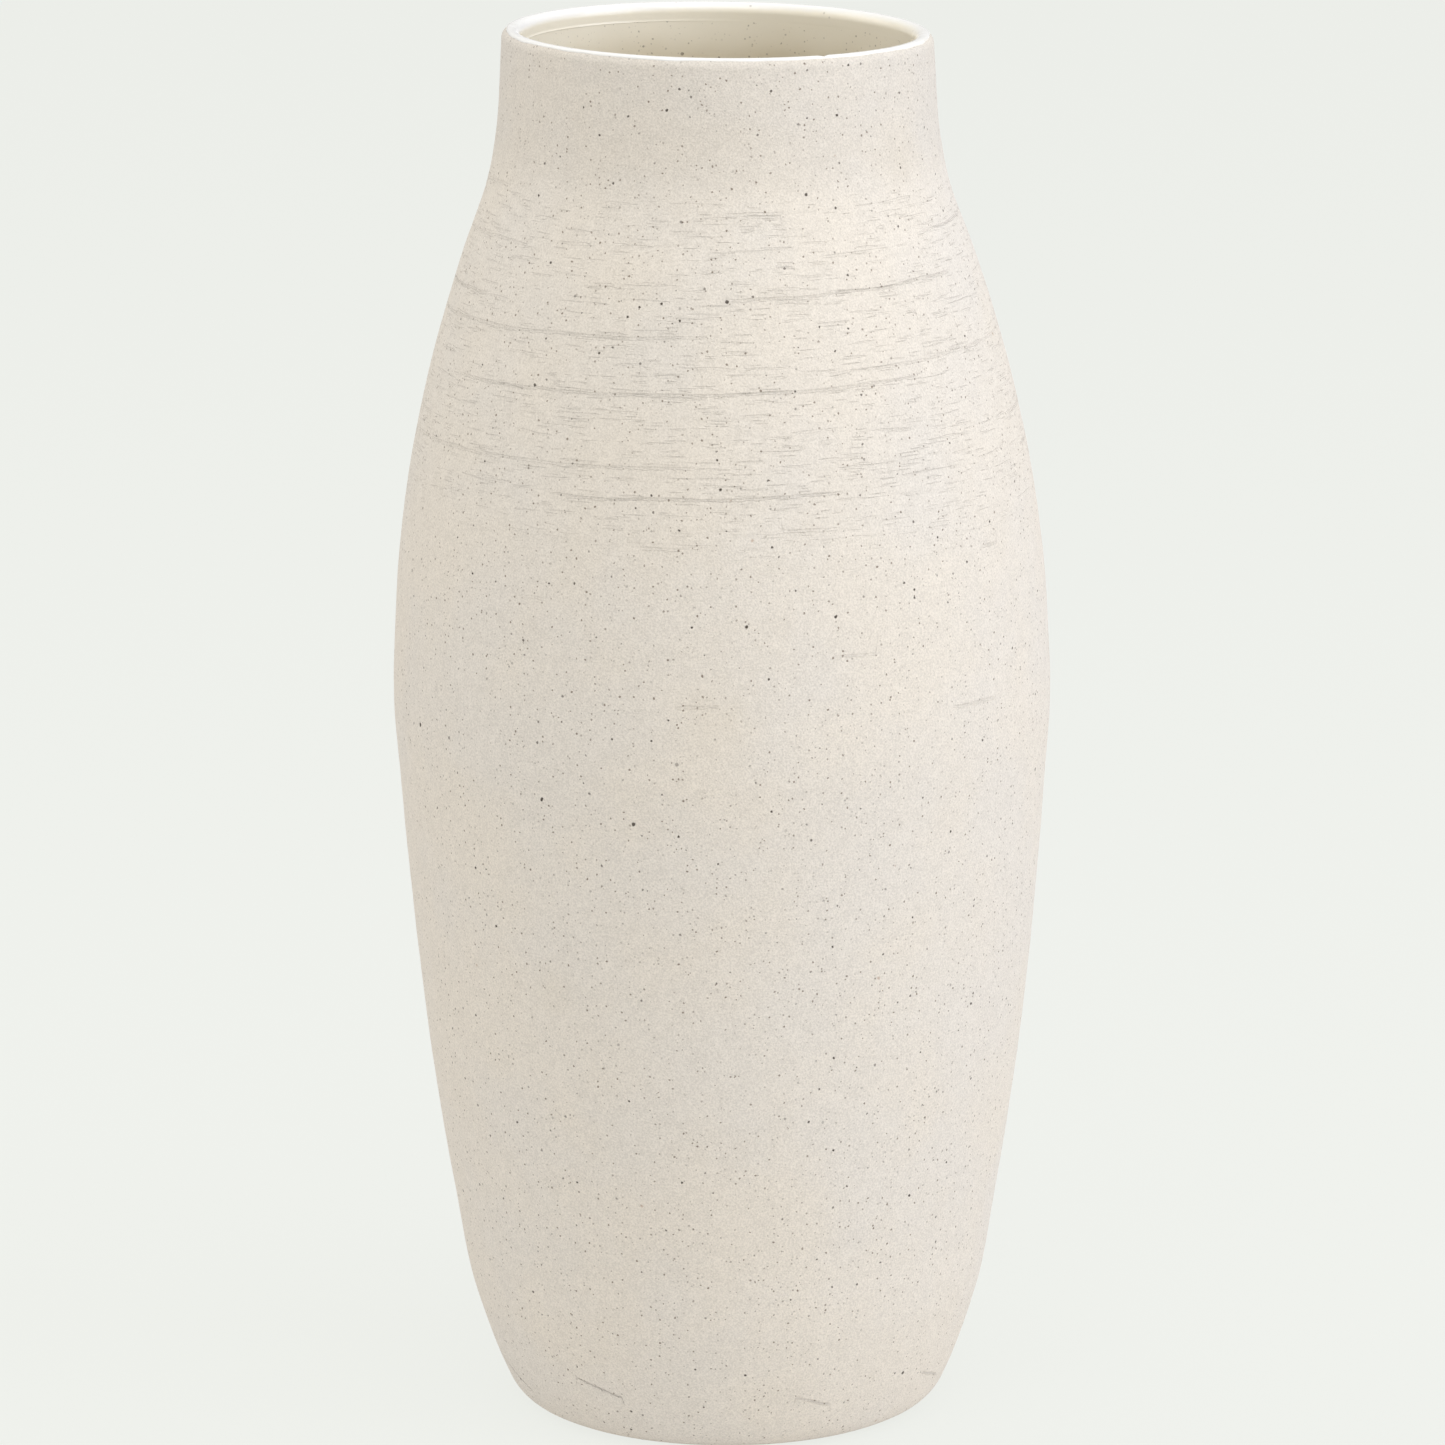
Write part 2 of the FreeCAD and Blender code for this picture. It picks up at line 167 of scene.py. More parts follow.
class SmoothLine:
    """Natural cubic line through values given at rising places."""

    def __init__(self, places, values):
        self.places = np.asarray(places, float)
        self.values = np.asarray(values, float)
        step = np.diff(self.places)
        count = len(self.places)
        system = np.eye(count)
        slopes = np.diff(self.values) / step
        right = np.zeros(count)
        for i in range(1, count - 1):
            system[i, i - 1] = step[i - 1]
            system[i, i] = 2 * (step[i - 1] + step[i])
            system[i, i + 1] = step[i]
            right[i] = 6 * (slopes[i] - slopes[i - 1])
        self.bends = np.linalg.solve(system, right)

    def __call__(self, at):
        at = np.asarray(at, float)
        span = np.clip(np.searchsorted(self.places, at) - 1, 0, len(self.places) - 2)
        left = self.places[span]
        right = self.places[span + 1]
        step = right - left
        a = (right - at) / step
        b = (at - left) / step
        curve = (a**3 - a) * self.bends[span] + (b**3 - b) * self.bends[span + 1]
        return a * self.values[span] + b * self.values[span + 1] + curve * step**2 / 6


class SmoothPath:
    """Smooth path through points of the section, measured along its length."""

    def __init__(self, points):
        points = np.asarray(points, float)
        along = np.concatenate([[0], np.cumsum(np.hypot(*np.diff(points, axis=0).T))])
        self.length = along[-1]
        self.radius = SmoothLine(along, points[:, 0])
        self.height = SmoothLine(along, points[:, 1])

    def at_heights(self, heights):
        """Points at these heights, on a path that always climbs or always falls."""
        fine = np.linspace(0, self.length, 6000)
        levels = self.height(fine)
        order = np.argsort(levels)
        along = np.interp(heights, levels[order], fine[order])
        return np.column_stack([self.radius(along), heights])


def wall_swell(heights):
    """How far the hand-made wall stands out from the true outline, in metres."""
    random = np.random.default_rng(SWELL_SEED)
    total = np.zeros(len(heights))
    for wave in range(1, SWELL_WAVES + 1):
        phase = random.uniform(0, 2 * math.pi)
        total += SWELL_DEPTH / wave * np.sin(2 * math.pi * wave * heights / SWELL_LENGTH + phase)
    low = smooth_step(heights / VASE_HEIGHT, 0.03, 0.10)
    high = 1 - smooth_step(heights / VASE_HEIGHT, 0.90, 0.95)
    return total * low * high


class Section:
    """Radii and heights of the vase's wall, read from the CAD nodes."""

    def __init__(self):
        clay = frame_tree(*CLAY_NODES)
        liner = frame_tree("liner_glaze")
        foot = [v.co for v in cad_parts["lower_wall"].data.vertices if v.co.z < 0.01 * MM]
        ring = [math.hypot(co.x, co.y) for co in foot]
        disc_low, disc_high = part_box("floor_disc")
        clay_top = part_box("neck_collar")[1].z
        self.ring_in = min(ring)
        self.ring_out = max(ring)
        self.recess = disc_low.z
        self.seat = disc_high.x + (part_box("floor_slip")[1].x - disc_high.x)
        self.floor_top = disc_high.z
        self.ledge_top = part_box("floor_slip")[0].z + (disc_high.z - disc_low.z) / 2
        bore = level_reach(clay, clay_top - 2.5 * MM, False)
        self.lip_round = (level_reach(clay, clay_top - 1.9 * MM, True) - bore) / 2
        self.lip_radius = bore + self.lip_round
        self.lip_height = clay_top - self.lip_round
        self.glaze_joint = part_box("liner_glaze")[1].z
        self.glaze = bore - level_reach(liner, self.glaze_joint - 0.1 * MM, False)
        self.belly_seam = seam_height(
            "lower_wall",
            "shoulder_wall",
            0.5 * VASE_HEIGHT,
            0.57 * VASE_HEIGHT,
            True,
        )
        self.neck_seam = seam_height(
            "shoulder_wall",
            "neck_collar",
            0.86 * VASE_HEIGHT,
            0.94 * VASE_HEIGHT,
            True,
        )
        self.neck_seam_in = seam_height(
            "shoulder_wall",
            "neck_collar",
            0.86 * VASE_HEIGHT,
            0.94 * VASE_HEIGHT,
            False,
        )
        self.glaze_floor = self.floor_top + self.glaze
        self.outside = self._outside(clay)
        self.clay_inside = self._inside(clay, self.floor_top)
        self.glaze_inside = self._inside(liner, self.glaze_floor)

    def _outside(self, tree):
        corner = np.array([0.15, 0.6, 1.3, 2.2, 3.4, 4.9, 6.8, 9.2, 12.5, 17, 23]) * MM
        wall = np.arange(0.1, 0.88, 0.028) * VASE_HEIGHT
        neck = np.linspace(0.89 * VASE_HEIGHT, self.lip_height, 9)
        heights = np.concatenate([corner, wall, neck])
        radii = np.array([level_reach(tree, height, True) for height in heights])
        points = np.column_stack([radii, heights])
        points = np.vstack([[self.ring_out, 0], points])
        path = SmoothPath(points)
        fine = path.at_heights(np.arange(0, self.lip_height, 0.4 * MM))
        fine[:, 0] += wall_swell(fine[:, 1])
        return SmoothLine(fine[:, 1], fine[:, 0])

    def _inside(self, tree, floor):
        rise = np.array([0.25, 0.9, 2.0, 3.6, 5.8, 8.6, 12.5, 18]) * MM
        wall = np.arange(0.11, 0.8, 0.04) * VASE_HEIGHT
        neck = np.linspace(0.82 * VASE_HEIGHT, self.glaze_joint - 0.1 * MM, 12)
        heights = np.concatenate([floor + rise, wall, neck])
        radii = np.array([level_reach(tree, height, False) for height in heights])
        return SmoothPath(np.column_stack([radii, heights]))

    def outer(self, heights):
        """Points of the outside at these heights."""
        return np.column_stack([self.outside(heights), heights])


# --- rows of a turned piece --------------------------------------------------------------


class Rows:
    """Rows of one closed section: points, with how strongly each row is worked."""

    def __init__(self):
        self.points = []
        self.drag = []
        self.rings = []
        self.spiral = []
        self.skin = []

    def add(self, points, drag=0.0, rings=0.0, spiral=0.0, skin=0.0):
        points = np.atleast_2d(np.asarray(points, float))
        self.points.extend(map(tuple, points))
        for kept, value in (
            (self.drag, drag),
            (self.rings, rings),
            (self.spiral, spiral),
            (self.skin, skin),
        ):
            kept.extend(np.broadcast_to(value, len(points)))
        return self

    def close(self):
        self.add([self.points[0]], self.drag[0], self.rings[0], self.spiral[0], self.skin[0])
        return self

    def outward(self):
        """Direction out of the clay at each row; at a joint it follows the skin alone."""
        points = np.array(self.points)
        skin = np.array(self.skin)
        last = len(points) - 1
        normal = np.zeros((len(points), 2))
        for i in range(len(points)):
            before = max(i - 1, 0)
            after = min(i + 1, last)
            if skin[i] > 0 and skin[before] == 0:
                before = i
            if skin[i] > 0 and skin[after] == 0:
                after = i
            way = points[after] - points[before]
            normal[i] = (way[1], -way[0])
        if np.allclose(points[0], points[last]):
            normal[last] = normal[0]
        size = np.hypot(*normal.T)
        return normal / np.maximum(size, 1e-9)[:, None]


def between(start, end, count):
    """Evenly spaced points from start to end, without the last."""
    return np.linspace(start, end, count, endpoint=False)


def smooth_step(values, low, high):
    """Rises smoothly from 0 to 1 between two values."""
    part = np.clip((np.asarray(values, float) - low) / (high - low), 0, 1)
    return part * part * (3 - 2 * part)


def drag_strength(heights):
    """The dragged zone runs from the neck joint down over the shoulder."""
    part = heights / VASE_HEIGHT
    strong = smooth_step(part, 0.635, 0.70) * (1 - smooth_step(part, 0.898, 0.908))
    return strong + 0.12 * (1 - strong) * smooth_step(part, 0.05, 0.2) * (1 - smooth_step(part, 0.90, 0.91))


# --- node helpers ------------------------------------------------------------------------


def add_node(tree, kind, inputs=None, **settings):
    """A new node with its settings and inputs; an input given a socket is linked."""
    made = tree.nodes.new(kind)
    for key, value in settings.items():
        setattr(made, key, value)
    for key, value in (inputs or {}).items():
        plug(tree, made.inputs[key], value)
    return made


def plug(tree, socket, value):
    """Puts a link or a plain value into a socket."""
    if isinstance(value, bpy.types.NodeSocket):
        tree.links.new(value, socket)
    else:
        socket.default_value = value


def calc(tree, operation, first, second=0.0, third=None):
    """One arithmetic node."""
    inputs = {0: first, 1: second}
    if third is not None:
        inputs[2] = third
    return add_node(tree, "ShaderNodeMath", inputs, operation=operation).outputs[0]


def vector_calc(tree, operation, first, second=None, scale=None):
    """One vector arithmetic node."""
    inputs = {0: first}
    if second is not None:
        inputs[1] = second
    if scale is not None:
        inputs["Scale"] = scale
    made = add_node(tree, "ShaderNodeVectorMath", inputs, operation=operation)
    return made.outputs["Value" if operation in ("DISTANCE", "LENGTH", "DOT_PRODUCT") else "Vector"]


def step_between(tree, value, low, high, result_low=0.0, result_high=1.0):
    """Smooth step of a value from low to high."""
    inputs = {
        "Value": value,
        "From Min": low,
        "From Max": high,
        "To Min": result_low,
        "To Max": result_high,
    }
    made = add_node(tree, "ShaderNodeMapRange", inputs, interpolation_type="SMOOTHSTEP", clamp=True)
    return made.outputs["Result"]


def combine(tree, x, y, z):
    """Makes a vector from three values."""
    return add_node(tree, "ShaderNodeCombineXYZ", {0: x, 1: y, 2: z}).outputs[0]


def noise(tree, vector, scale, detail=2.0, roughness=0.5, seed=None, colour=False):
    """Noise texture, in four dimensions where it has a seed."""
    inputs = {"Vector": vector, "Scale": scale, "Detail": detail, "Roughness": roughness}
    if seed is not None:
        inputs["W"] = seed
    made = add_node(tree, "ShaderNodeTexNoise", None, noise_dimensions="3D" if seed is None else "4D")
    for key, value in inputs.items():
        plug(tree, made.inputs[key], value)
    return made.outputs["Color" if colour else "Fac"]


def new_group(name, kind, takes, gives):
    """A node tree with these named sockets: (name, type, default)."""
    tree = bpy.data.node_groups.new(name, kind)
    for label, socket_type, default in takes:
        socket = tree.interface.new_socket(label, in_out="INPUT", socket_type=socket_type)
        if default is not None:
            socket.default_value = default
    for label, socket_type in gives:
        tree.interface.new_socket(label, in_out="OUTPUT", socket_type=socket_type)
    source = tree.nodes.new("NodeGroupInput")
    target = tree.nodes.new("NodeGroupOutput")
    return tree, source.outputs, target.inputs


# --- the turning tree --------------------------------------------------------------------

FLOAT = "NodeSocketFloat"
VECTOR = "NodeSocketVector"
TURN_SOCKETS = (
    ("Outline", "NodeSocketGeometry", None),
    ("Columns", "NodeSocketInt", 384),
    ("Clay", "NodeSocketMaterial", None),
    ("Height", FLOAT, 0.3),
    ("Lean", FLOAT, 0.002),
    ("Rim lift", FLOAT, 0.0006),
    ("Drag depth", FLOAT, 0.0001),
    ("Drag length", FLOAT, 0.011),
    ("Drag height", FLOAT, 0.0007),
    ("Ring depth", FLOAT, 0.00005),
    ("Ring height", FLOAT, 0.005),
    ("Wave depth", FLOAT, 0.0001),
    ("Wave size", FLOAT, 0.06),
    ("Spiral depth", FLOAT, 0.0001),
    ("Spiral pitch", FLOAT, 0.0022),
    ("Seed", FLOAT, 3.0),
)


def turning_tree():
    """Geometry nodes that turn an outline round the axis and leave the marks of the hands."""
    name = "Turned clay wall"
    if name in bpy.data.node_groups:
        return bpy.data.node_groups[name]
    tree, given, result = new_group(
        name,
        "GeometryNodeTree",
        TURN_SOCKETS,
        (("Wall", "NodeSocketGeometry"),),
    )
    outline = given["Outline"]
    rows = add_node(
        tree,
        "GeometryNodeAttributeDomainSize",
        {"Geometry": outline},
        component="MESH",
    ).outputs["Point Count"]
    columns = calc(tree, "ADD", given["Columns"], 1.0)
    grid = add_node(
        tree,
        "GeometryNodeMeshGrid",
        {"Vertices X": columns, "Vertices Y": rows},
    ).outputs["Mesh"]
    index = add_node(tree, "GeometryNodeInputIndex").outputs[0]
    row = calc(tree, "MODULO", index, rows)
    column = calc(tree, "FLOOR", calc(tree, "DIVIDE", calc(tree, "ADD", index, 0.5), rows))
    turn = calc(tree, "DIVIDE", calc(tree, "MULTIPLY", column, 2 * math.pi), given["Columns"])

    def worked(label, data_type):
        """The value that the outline's row keeps under this name."""
        if label == "position":
            field = add_node(tree, "GeometryNodeInputPosition").outputs[0]
        else:
            named = add_node(tree, "GeometryNodeInputNamedAttribute", {"Name": label}, data_type=data_type)
            field = named.outputs["Attribute"]
        sample = add_node(
            tree,
            "GeometryNodeSampleIndex",
            {"Geometry": outline, "Index": row},
            data_type=data_type,
        )
        tree.links.new(field, sample.inputs["Value"])
        return sample.outputs["Value"]

    place = add_node(tree, "ShaderNodeSeparateXYZ", {0: worked("position", "FLOAT_VECTOR")})
    away = add_node(tree, "ShaderNodeSeparateXYZ", {0: worked("outward", "FLOAT_VECTOR")})
    radius = place.outputs["X"]
    height = place.outputs["Z"]
    side = calc(tree, "SINE", turn)
    depth = calc(tree, "MULTIPLY", calc(tree, "COSINE", turn), -1.0)
    point = combine(
        tree,
        calc(tree, "MULTIPLY", radius, side),
        calc(tree, "MULTIPLY", radius, depth),
        height,
    )
    outward = combine(
        tree,
        calc(tree, "MULTIPLY", away.outputs["X"], side),
        calc(tree, "MULTIPLY", away.outputs["X"], depth),
        away.outputs["Z"],
    )

    def stretched(across, up):
        """The point measured in lengths of a mark, long across and short upwards."""
        wide = calc(tree, "DIVIDE", 1.0, across)
        tall = calc(tree, "DIVIDE", 1.0, up)
        return vector_calc(tree, "MULTIPLY", point, combine(tree, wide, wide, tall))

    seed = given["Seed"]
    streaks = noise(tree, stretched(given["Drag length"], given["Drag height"]), 1.0, 1.5, 0.55, seed)
    patches = noise(tree, point, 45.0, 1.0, 0.5, calc(tree, "ADD", seed, 7.0))
    cut = step_between(tree, streaks, 0.54, 0.74)
    burr = step_between(tree, streaks, 0.44, 0.28)
    patchy = step_between(tree, patches, 0.36, 0.62, 0.4, 1.0)
    drag = calc(tree, "SUBTRACT", calc(tree, "MULTIPLY", burr, 0.35), cut)
    drag = calc(tree, "MULTIPLY", calc(tree, "MULTIPLY", drag, patchy), given["Drag depth"])
    drag = calc(tree, "MULTIPLY", drag, worked("drag", "FLOAT"))
    ring_noise = noise(
        tree,
        stretched(0.25, given["Ring height"]),
        1.0,
        1.0,
        0.5,
        calc(tree, "ADD", seed, 13.0),
    )
    rings = calc(tree, "MULTIPLY", calc(tree, "SUBTRACT", ring_noise, 0.5), given["Ring depth"])
    rings = calc(tree, "MULTIPLY", rings, worked("rings", "FLOAT"))
    wave_noise = noise(
        tree,
        stretched(given["Wave size"], given["Wave size"]),
        1.0,
        0.0,
        0.5,
        calc(tree, "ADD", seed, 21.0),
    )
    waves = calc(tree, "MULTIPLY", calc(tree, "SUBTRACT", wave_noise, 0.5), given["Wave depth"])
    waves = calc(tree, "MULTIPLY", waves, worked("skin", "FLOAT"))
    wound = calc(
        tree,
        "ADD",
        calc(tree, "DIVIDE", radius, given["Spiral pitch"]),
        calc(tree, "DIVIDE", turn, 2 * math.pi),
    )
    spiral = calc(tree, "COSINE", calc(tree, "MULTIPLY", wound, 2 * math.pi))
    spiral = calc(
        tree,
        "MULTIPLY",
        calc(tree, "MULTIPLY", spiral, given["Spiral depth"]),
        worked("spiral", "FLOAT"),
    )
    lift = calc(tree, "ADD", calc(tree, "ADD", drag, rings), calc(tree, "ADD", waves, spiral))
    shaped = vector_calc(tree, "ADD", point, vector_calc(tree, "SCALE", outward, scale=lift))

    climbed = calc(tree, "DIVIDE", height, given["Height"])
    shift = calc(tree, "MULTIPLY", calc(tree, "MULTIPLY", climbed, given["Lean"]), -1.0)
    rising = step_between(tree, climbed, 0.8, 1.0)
    tip = calc(
        tree,
        "MULTIPLY",
        calc(tree, "MULTIPLY", rising, given["Rim lift"]),
        calc(tree, "MULTIPLY", side, -1.0),
    )
    shaped = vector_calc(tree, "ADD", shaped, combine(tree, shift, 0.0, tip))

    moved = add_node(tree, "GeometryNodeSetPosition", {"Geometry": grid, "Position": shaped}).outputs[0]
    for label in ("skin", "drag"):
        kept = add_node(
            tree,
            "GeometryNodeStoreNamedAttribute",
            {"Geometry": moved, "Name": label},
            data_type="FLOAT",
        )
        tree.links.new(worked(label, "FLOAT"), kept.inputs["Value"])
        moved = kept.outputs[0]
    merged = add_node(
        tree,
        "GeometryNodeMergeByDistance",
        {"Geometry": moved, "Distance": 0.000002},
    ).outputs[0]
    whole = add_node(tree, "GeometryNodeRealizeInstances", {"Geometry": merged}).outputs[0]
    painted = add_node(
        tree,
        "GeometryNodeSetMaterial",
        {"Geometry": whole, "Material": given["Clay"]},
    ).outputs[0]
    tree.links.new(painted, result["Wall"])
    return tree


def set_inputs(modifier, values):
    """Sets a modifier's inputs through the identifiers of its tree's sockets."""
    sockets = modifier.node_group.interface.items_tree
    inputs = [item for item in sockets if item.item_type == "SOCKET" and item.in_out == "INPUT"]
    known = {item.name: item.identifier for item in inputs}
    for label, value in values.items():
        modifier[known[label]] = value


def turn_piece(name, rows, material, columns, shape):
    """Turns the rows into a closed mesh object of this name."""
    old = bpy.data.objects.get(name)
    if old is not None:
        bpy.data.objects.remove(old)
    outline = bpy.data.meshes.new(name + "_outline")
    links = [(i, i + 1) for i in range(len(rows.points) - 1)]
    outline.from_pydata([(radius, 0, height) for radius, height in rows.points], links, [])
    for label in ("drag", "rings", "spiral", "skin"):
        outline.attributes.new(label, "FLOAT", "POINT").data.foreach_set("value", getattr(rows, label))
    away = np.zeros((len(rows.points), 3))
    away[:, [0, 2]] = rows.outward()
    outline.attributes.new("outward", "FLOAT_VECTOR", "POINT").data.foreach_set("vector", away.ravel())
    piece = bpy.data.objects.new(name, outline)
    bpy.context.scene.collection.objects.link(piece)
    modifier = piece.modifiers.new("Turned", "NODES")
    modifier.node_group = turning_tree()
    sizes = {
        "Columns": columns,
        "Clay": material,
        "Height": VASE_HEIGHT,
        "Lean": shape.lean,
        "Rim lift": shape.rim_lift,
        "Drag depth": shape.drag_depth,
        "Drag length": shape.drag_length,
        "Drag height": shape.drag_height,
        "Ring depth": shape.ring_depth,
        "Ring height": shape.ring_height,
        "Wave depth": shape.wave_depth,
        "Wave size": shape.wave_size,
        "Spiral depth": shape.spiral_depth,
        "Spiral pitch": shape.spiral_pitch,
        "Seed": float(shape.seed),
    }
    set_inputs(modifier, sizes)
    graph = bpy.context.evaluated_depsgraph_get()
    mesh = bpy.data.meshes.new_from_object(piece.evaluated_get(graph))
    piece.modifiers.remove(modifier)
    piece.data = mesh
    mesh.name = name
    bpy.data.meshes.remove(outline)
    if not mesh.materials:
        mesh.materials.append(material)
    return piece


def finish_mesh(piece, sharp=40):
    """Faces outwards, smooth across the skin and crisp at the joints."""
    mesh = piece.data
    work = bmesh.new()
    work.from_mesh(mesh)
    bmesh.ops.recalc_face_normals(work, faces=work.faces)
    work.to_mesh(mesh)
    work.free()
    mesh.shade_smooth()
    mesh.set_sharp_from_angle(angle=math.radians(sharp))
    mesh.update()


# --- marks made by hand ------------------------------------------------------------------

GROOVE_SETS = 3
LINE_RANGE = 2.5
SOFT_WIDTH = 0.42
SOFT_PART = 0.12


def surface_places(mesh, shape):
    """Vertex positions, their turn from the front in degrees and their height in mm, on the upright vase."""
    co = np.zeros(len(mesh.vertices) * 3)
    mesh.vertices.foreach_get("co", co)
    co = co.reshape(-1, 3)
    x = co[:, 0] + shape.lean * co[:, 2] / VASE_HEIGHT
    turn = np.degrees(np.arctan2(x, -co[:, 1]))
    return co, x, turn, co[:, 2] / MM


def groove_lines(seed):
    """Every line cut into the skin: line set, depth, turns and heights of its ends, wander, fade."""
    random = np.random.default_rng(seed)
    lines = []
    shares = random.permutation((np.arange(LONG_GROOVES) + 0.5) / LONG_GROOVES)
    for index, share in enumerate(shares):
        start = index * GOLDEN_TURN
        sweep = random.uniform(*GROOVE_SWEEP)
        low = TOOLED_LOW + share * (TOOLED_HIGH - TOOLED_LOW)
        wander = [(0.10 / (i + 1), random.uniform(8, 30), random.uniform(0, 6.28)) for i in range(3)]
        depth = random.uniform(*GROOVE_DEPTH)
        lines.append((index % GROOVE_SETS, depth, start, sweep, low, sweep * GROOVE_RISE, wander, 5.0))
    for index in range(SHORT_SCRATCHES):
        start = random.uniform(0, 360)
        sweep = random.uniform(*SCRATCH_SWEEP)
        low = random.uniform(SHOULDER_LOW, TOOLED_HIGH)
        wander = [(0.05, random.uniform(4, 9), random.uniform(0, 6.28))]
        depth = random.uniform(*SCRATCH_DEPTH)
        lines.append(
            (index % GROOVE_SETS, depth, start, sweep, low, random.uniform(-0.2, 0.5), wander, 1.2)
        )
    for index in range(FOOT_CRACKS):
        start = index * 360 / FOOT_CRACKS + random.uniform(0, 20)
        sweep = random.uniform(*CRACK_SWEEP)
        low = random.uniform(*CRACK_START)
        wander = [(0.05, random.uniform(4, 9), random.uniform(0, 6.28))]
        depth = random.uniform(*CRACK_DEPTH)
        lines.append(
            (index % GROOVE_SETS, depth, start, sweep, low, -random.uniform(*CRACK_DROP), wander, 1.2)
        )
    return lines


def carve_grooves(piece, shape):
    """Presses the grooves into the skin and keeps each vertex's distance to the nearest line."""
    mesh = piece.data
    co, x, turn, height = surface_places(mesh, shape)
    skin = np.zeros(len(mesh.vertices))
    mesh.attributes["skin"].data.foreach_get("value", skin)
    distance = np.full((GROOVE_SETS, len(co)), 99.0)
    strength = np.zeros((GROOVE_SETS, len(co)))
    for line_set, depth, start, sweep, low, rise, wander, fade in groove_lines(shape.seed):
        local = np.mod(turn - start, 360)
        line = low + rise * local / sweep
        for size, period, phase in wander:
            line = line + size * np.sin(local * 2 * math.pi / period + phase)
        gap = height - line
        inside = smooth_step(local, 0, fade) * (1 - smooth_step(local, sweep - fade, sweep))
        inside = inside * (skin > 0.5)
        near = (np.abs(gap) < np.abs(distance[line_set])) & (inside > 0)
        distance[line_set][near] = gap[near]
        strength[line_set][near] = (
            inside * depth * 10 * (1 - smooth_step(np.abs(gap), 1.6, LINE_RANGE))
        )[near]
        push = SOFT_PART * depth * MM * inside * np.exp(-((gap / SOFT_WIDTH) ** 2))
        radius = np.hypot(x, co[:, 1])
        factor = 1 - push / np.maximum(radius, 1 * MM)
        co[:, 0] -= x * (1 - factor)
        co[:, 1] *= factor
    mesh.vertices.foreach_set("co", co.ravel())
    for line_set in range(GROOVE_SETS):
        for label, values in (("line", distance), ("cut", strength)):
            kept = mesh.attributes.new(f"{label}_{line_set}", "FLOAT", "POINT")
            kept.data.foreach_set("value", np.clip(values[line_set], -LINE_RANGE, LINE_RANGE))


# --- shared shader groups ----------------------------------------------------------------


def speckle_group():
    """Specks of iron in the clay: a mask with spots of uneven size and outline."""
    name = "Iron speckle"
    if name in bpy.data.node_groups:
        return bpy.data.node_groups[name]
    takes = (
        ("Point", VECTOR, None),
        ("Spacing", FLOAT, 3.0),
        ("Radius", FLOAT, 0.3),
        ("Softness", FLOAT, 0.12),
        ("Seed", FLOAT, 0.0),
    )
    tree, given, result = new_group(name, "ShaderNodeTree", takes, (("Mask", FLOAT), ("Tone", FLOAT)))
    shifted = vector_calc(
        tree,
        "ADD",
        given["Point"],
        combine(
            tree,
            given["Seed"],
            calc(tree, "MULTIPLY", given["Seed"], 1.7),
            calc(tree, "MULTIPLY", given["Seed"], 2.3),
        ),
    )
    small = vector_calc(tree, "SCALE", shifted, scale=calc(tree, "DIVIDE", 1.0, given["Spacing"]))
    cells = add_node(
        tree,
        "ShaderNodeTexVoronoi",
        {"Vector": small, "Scale": 1.0, "Randomness": 1.0},
        voronoi_dimensions="3D",
        feature="F1",
    )
    gap = calc(tree, "MULTIPLY", cells.outputs["Distance"], given["Spacing"])
    chance = add_node(tree, "ShaderNodeSeparateColor", {0: cells.outputs["Color"]})
    size = calc(
        tree,
        "MULTIPLY",
        given["Radius"],
        step_between(tree, chance.outputs[0], 0.0, 1.0, 0.45, 1.35),
    )
    edge = calc(tree, "DIVIDE", calc(tree, "SUBTRACT", size, gap), given["Softness"])
    mask = step_between(tree, edge, -1.0, 1.0)
    tree.links.new(mask, result["Mask"])
    tree.links.new(chance.outputs[1], result["Tone"])
    return tree


def ragged_group():
    """Moves a point a little, so that spots looked up there have uneven outlines."""
    name = "Ragged outline"
    if name in bpy.data.node_groups:
        return bpy.data.node_groups[name]
    takes = (("Point", VECTOR, None), ("Size", FLOAT, 0.5), ("Reach", FLOAT, 0.3))
    tree, given, result = new_group(name, "ShaderNodeTree", takes, (("Point", VECTOR),))
    moved = noise(tree, given["Point"], calc(tree, "DIVIDE", 1.0, given["Size"]), 1.0, 0.5, colour=True)
    moved = vector_calc(tree, "SUBTRACT", moved, (0.5, 0.5, 0.5))
    moved = vector_calc(tree, "SCALE", moved, scale=given["Reach"])
    tree.links.new(vector_calc(tree, "ADD", given["Point"], moved), result["Point"])
    return tree


def grain_group():
    """Fine sandy grain of unglazed clay."""
    name = "Sandy grain"
    if name in bpy.data.node_groups:
        return bpy.data.node_groups[name]
    takes = (("Point", VECTOR, None), ("Grain size", FLOAT, 0.35), ("Depth", FLOAT, 0.02))
    tree, given, result = new_group(name, "ShaderNodeTree", takes, (("Height", FLOAT), ("Shade", FLOAT)))
    scale = calc(tree, "DIVIDE", 1.0, given["Grain size"])
    fine = noise(tree, given["Point"], scale, 2.0, 0.65)
    broad = noise(tree, given["Point"], calc(tree, "MULTIPLY", scale, 0.15), 1.0, 0.5)
    mixed = calc(tree, "ADD", calc(tree, "MULTIPLY", fine, 0.85), calc(tree, "MULTIPLY", broad, 0.15))
    tree.links.new(calc(tree, "MULTIPLY", mixed, given["Depth"]), result["Height"])
    tree.links.new(mixed, result["Shade"])
    return tree


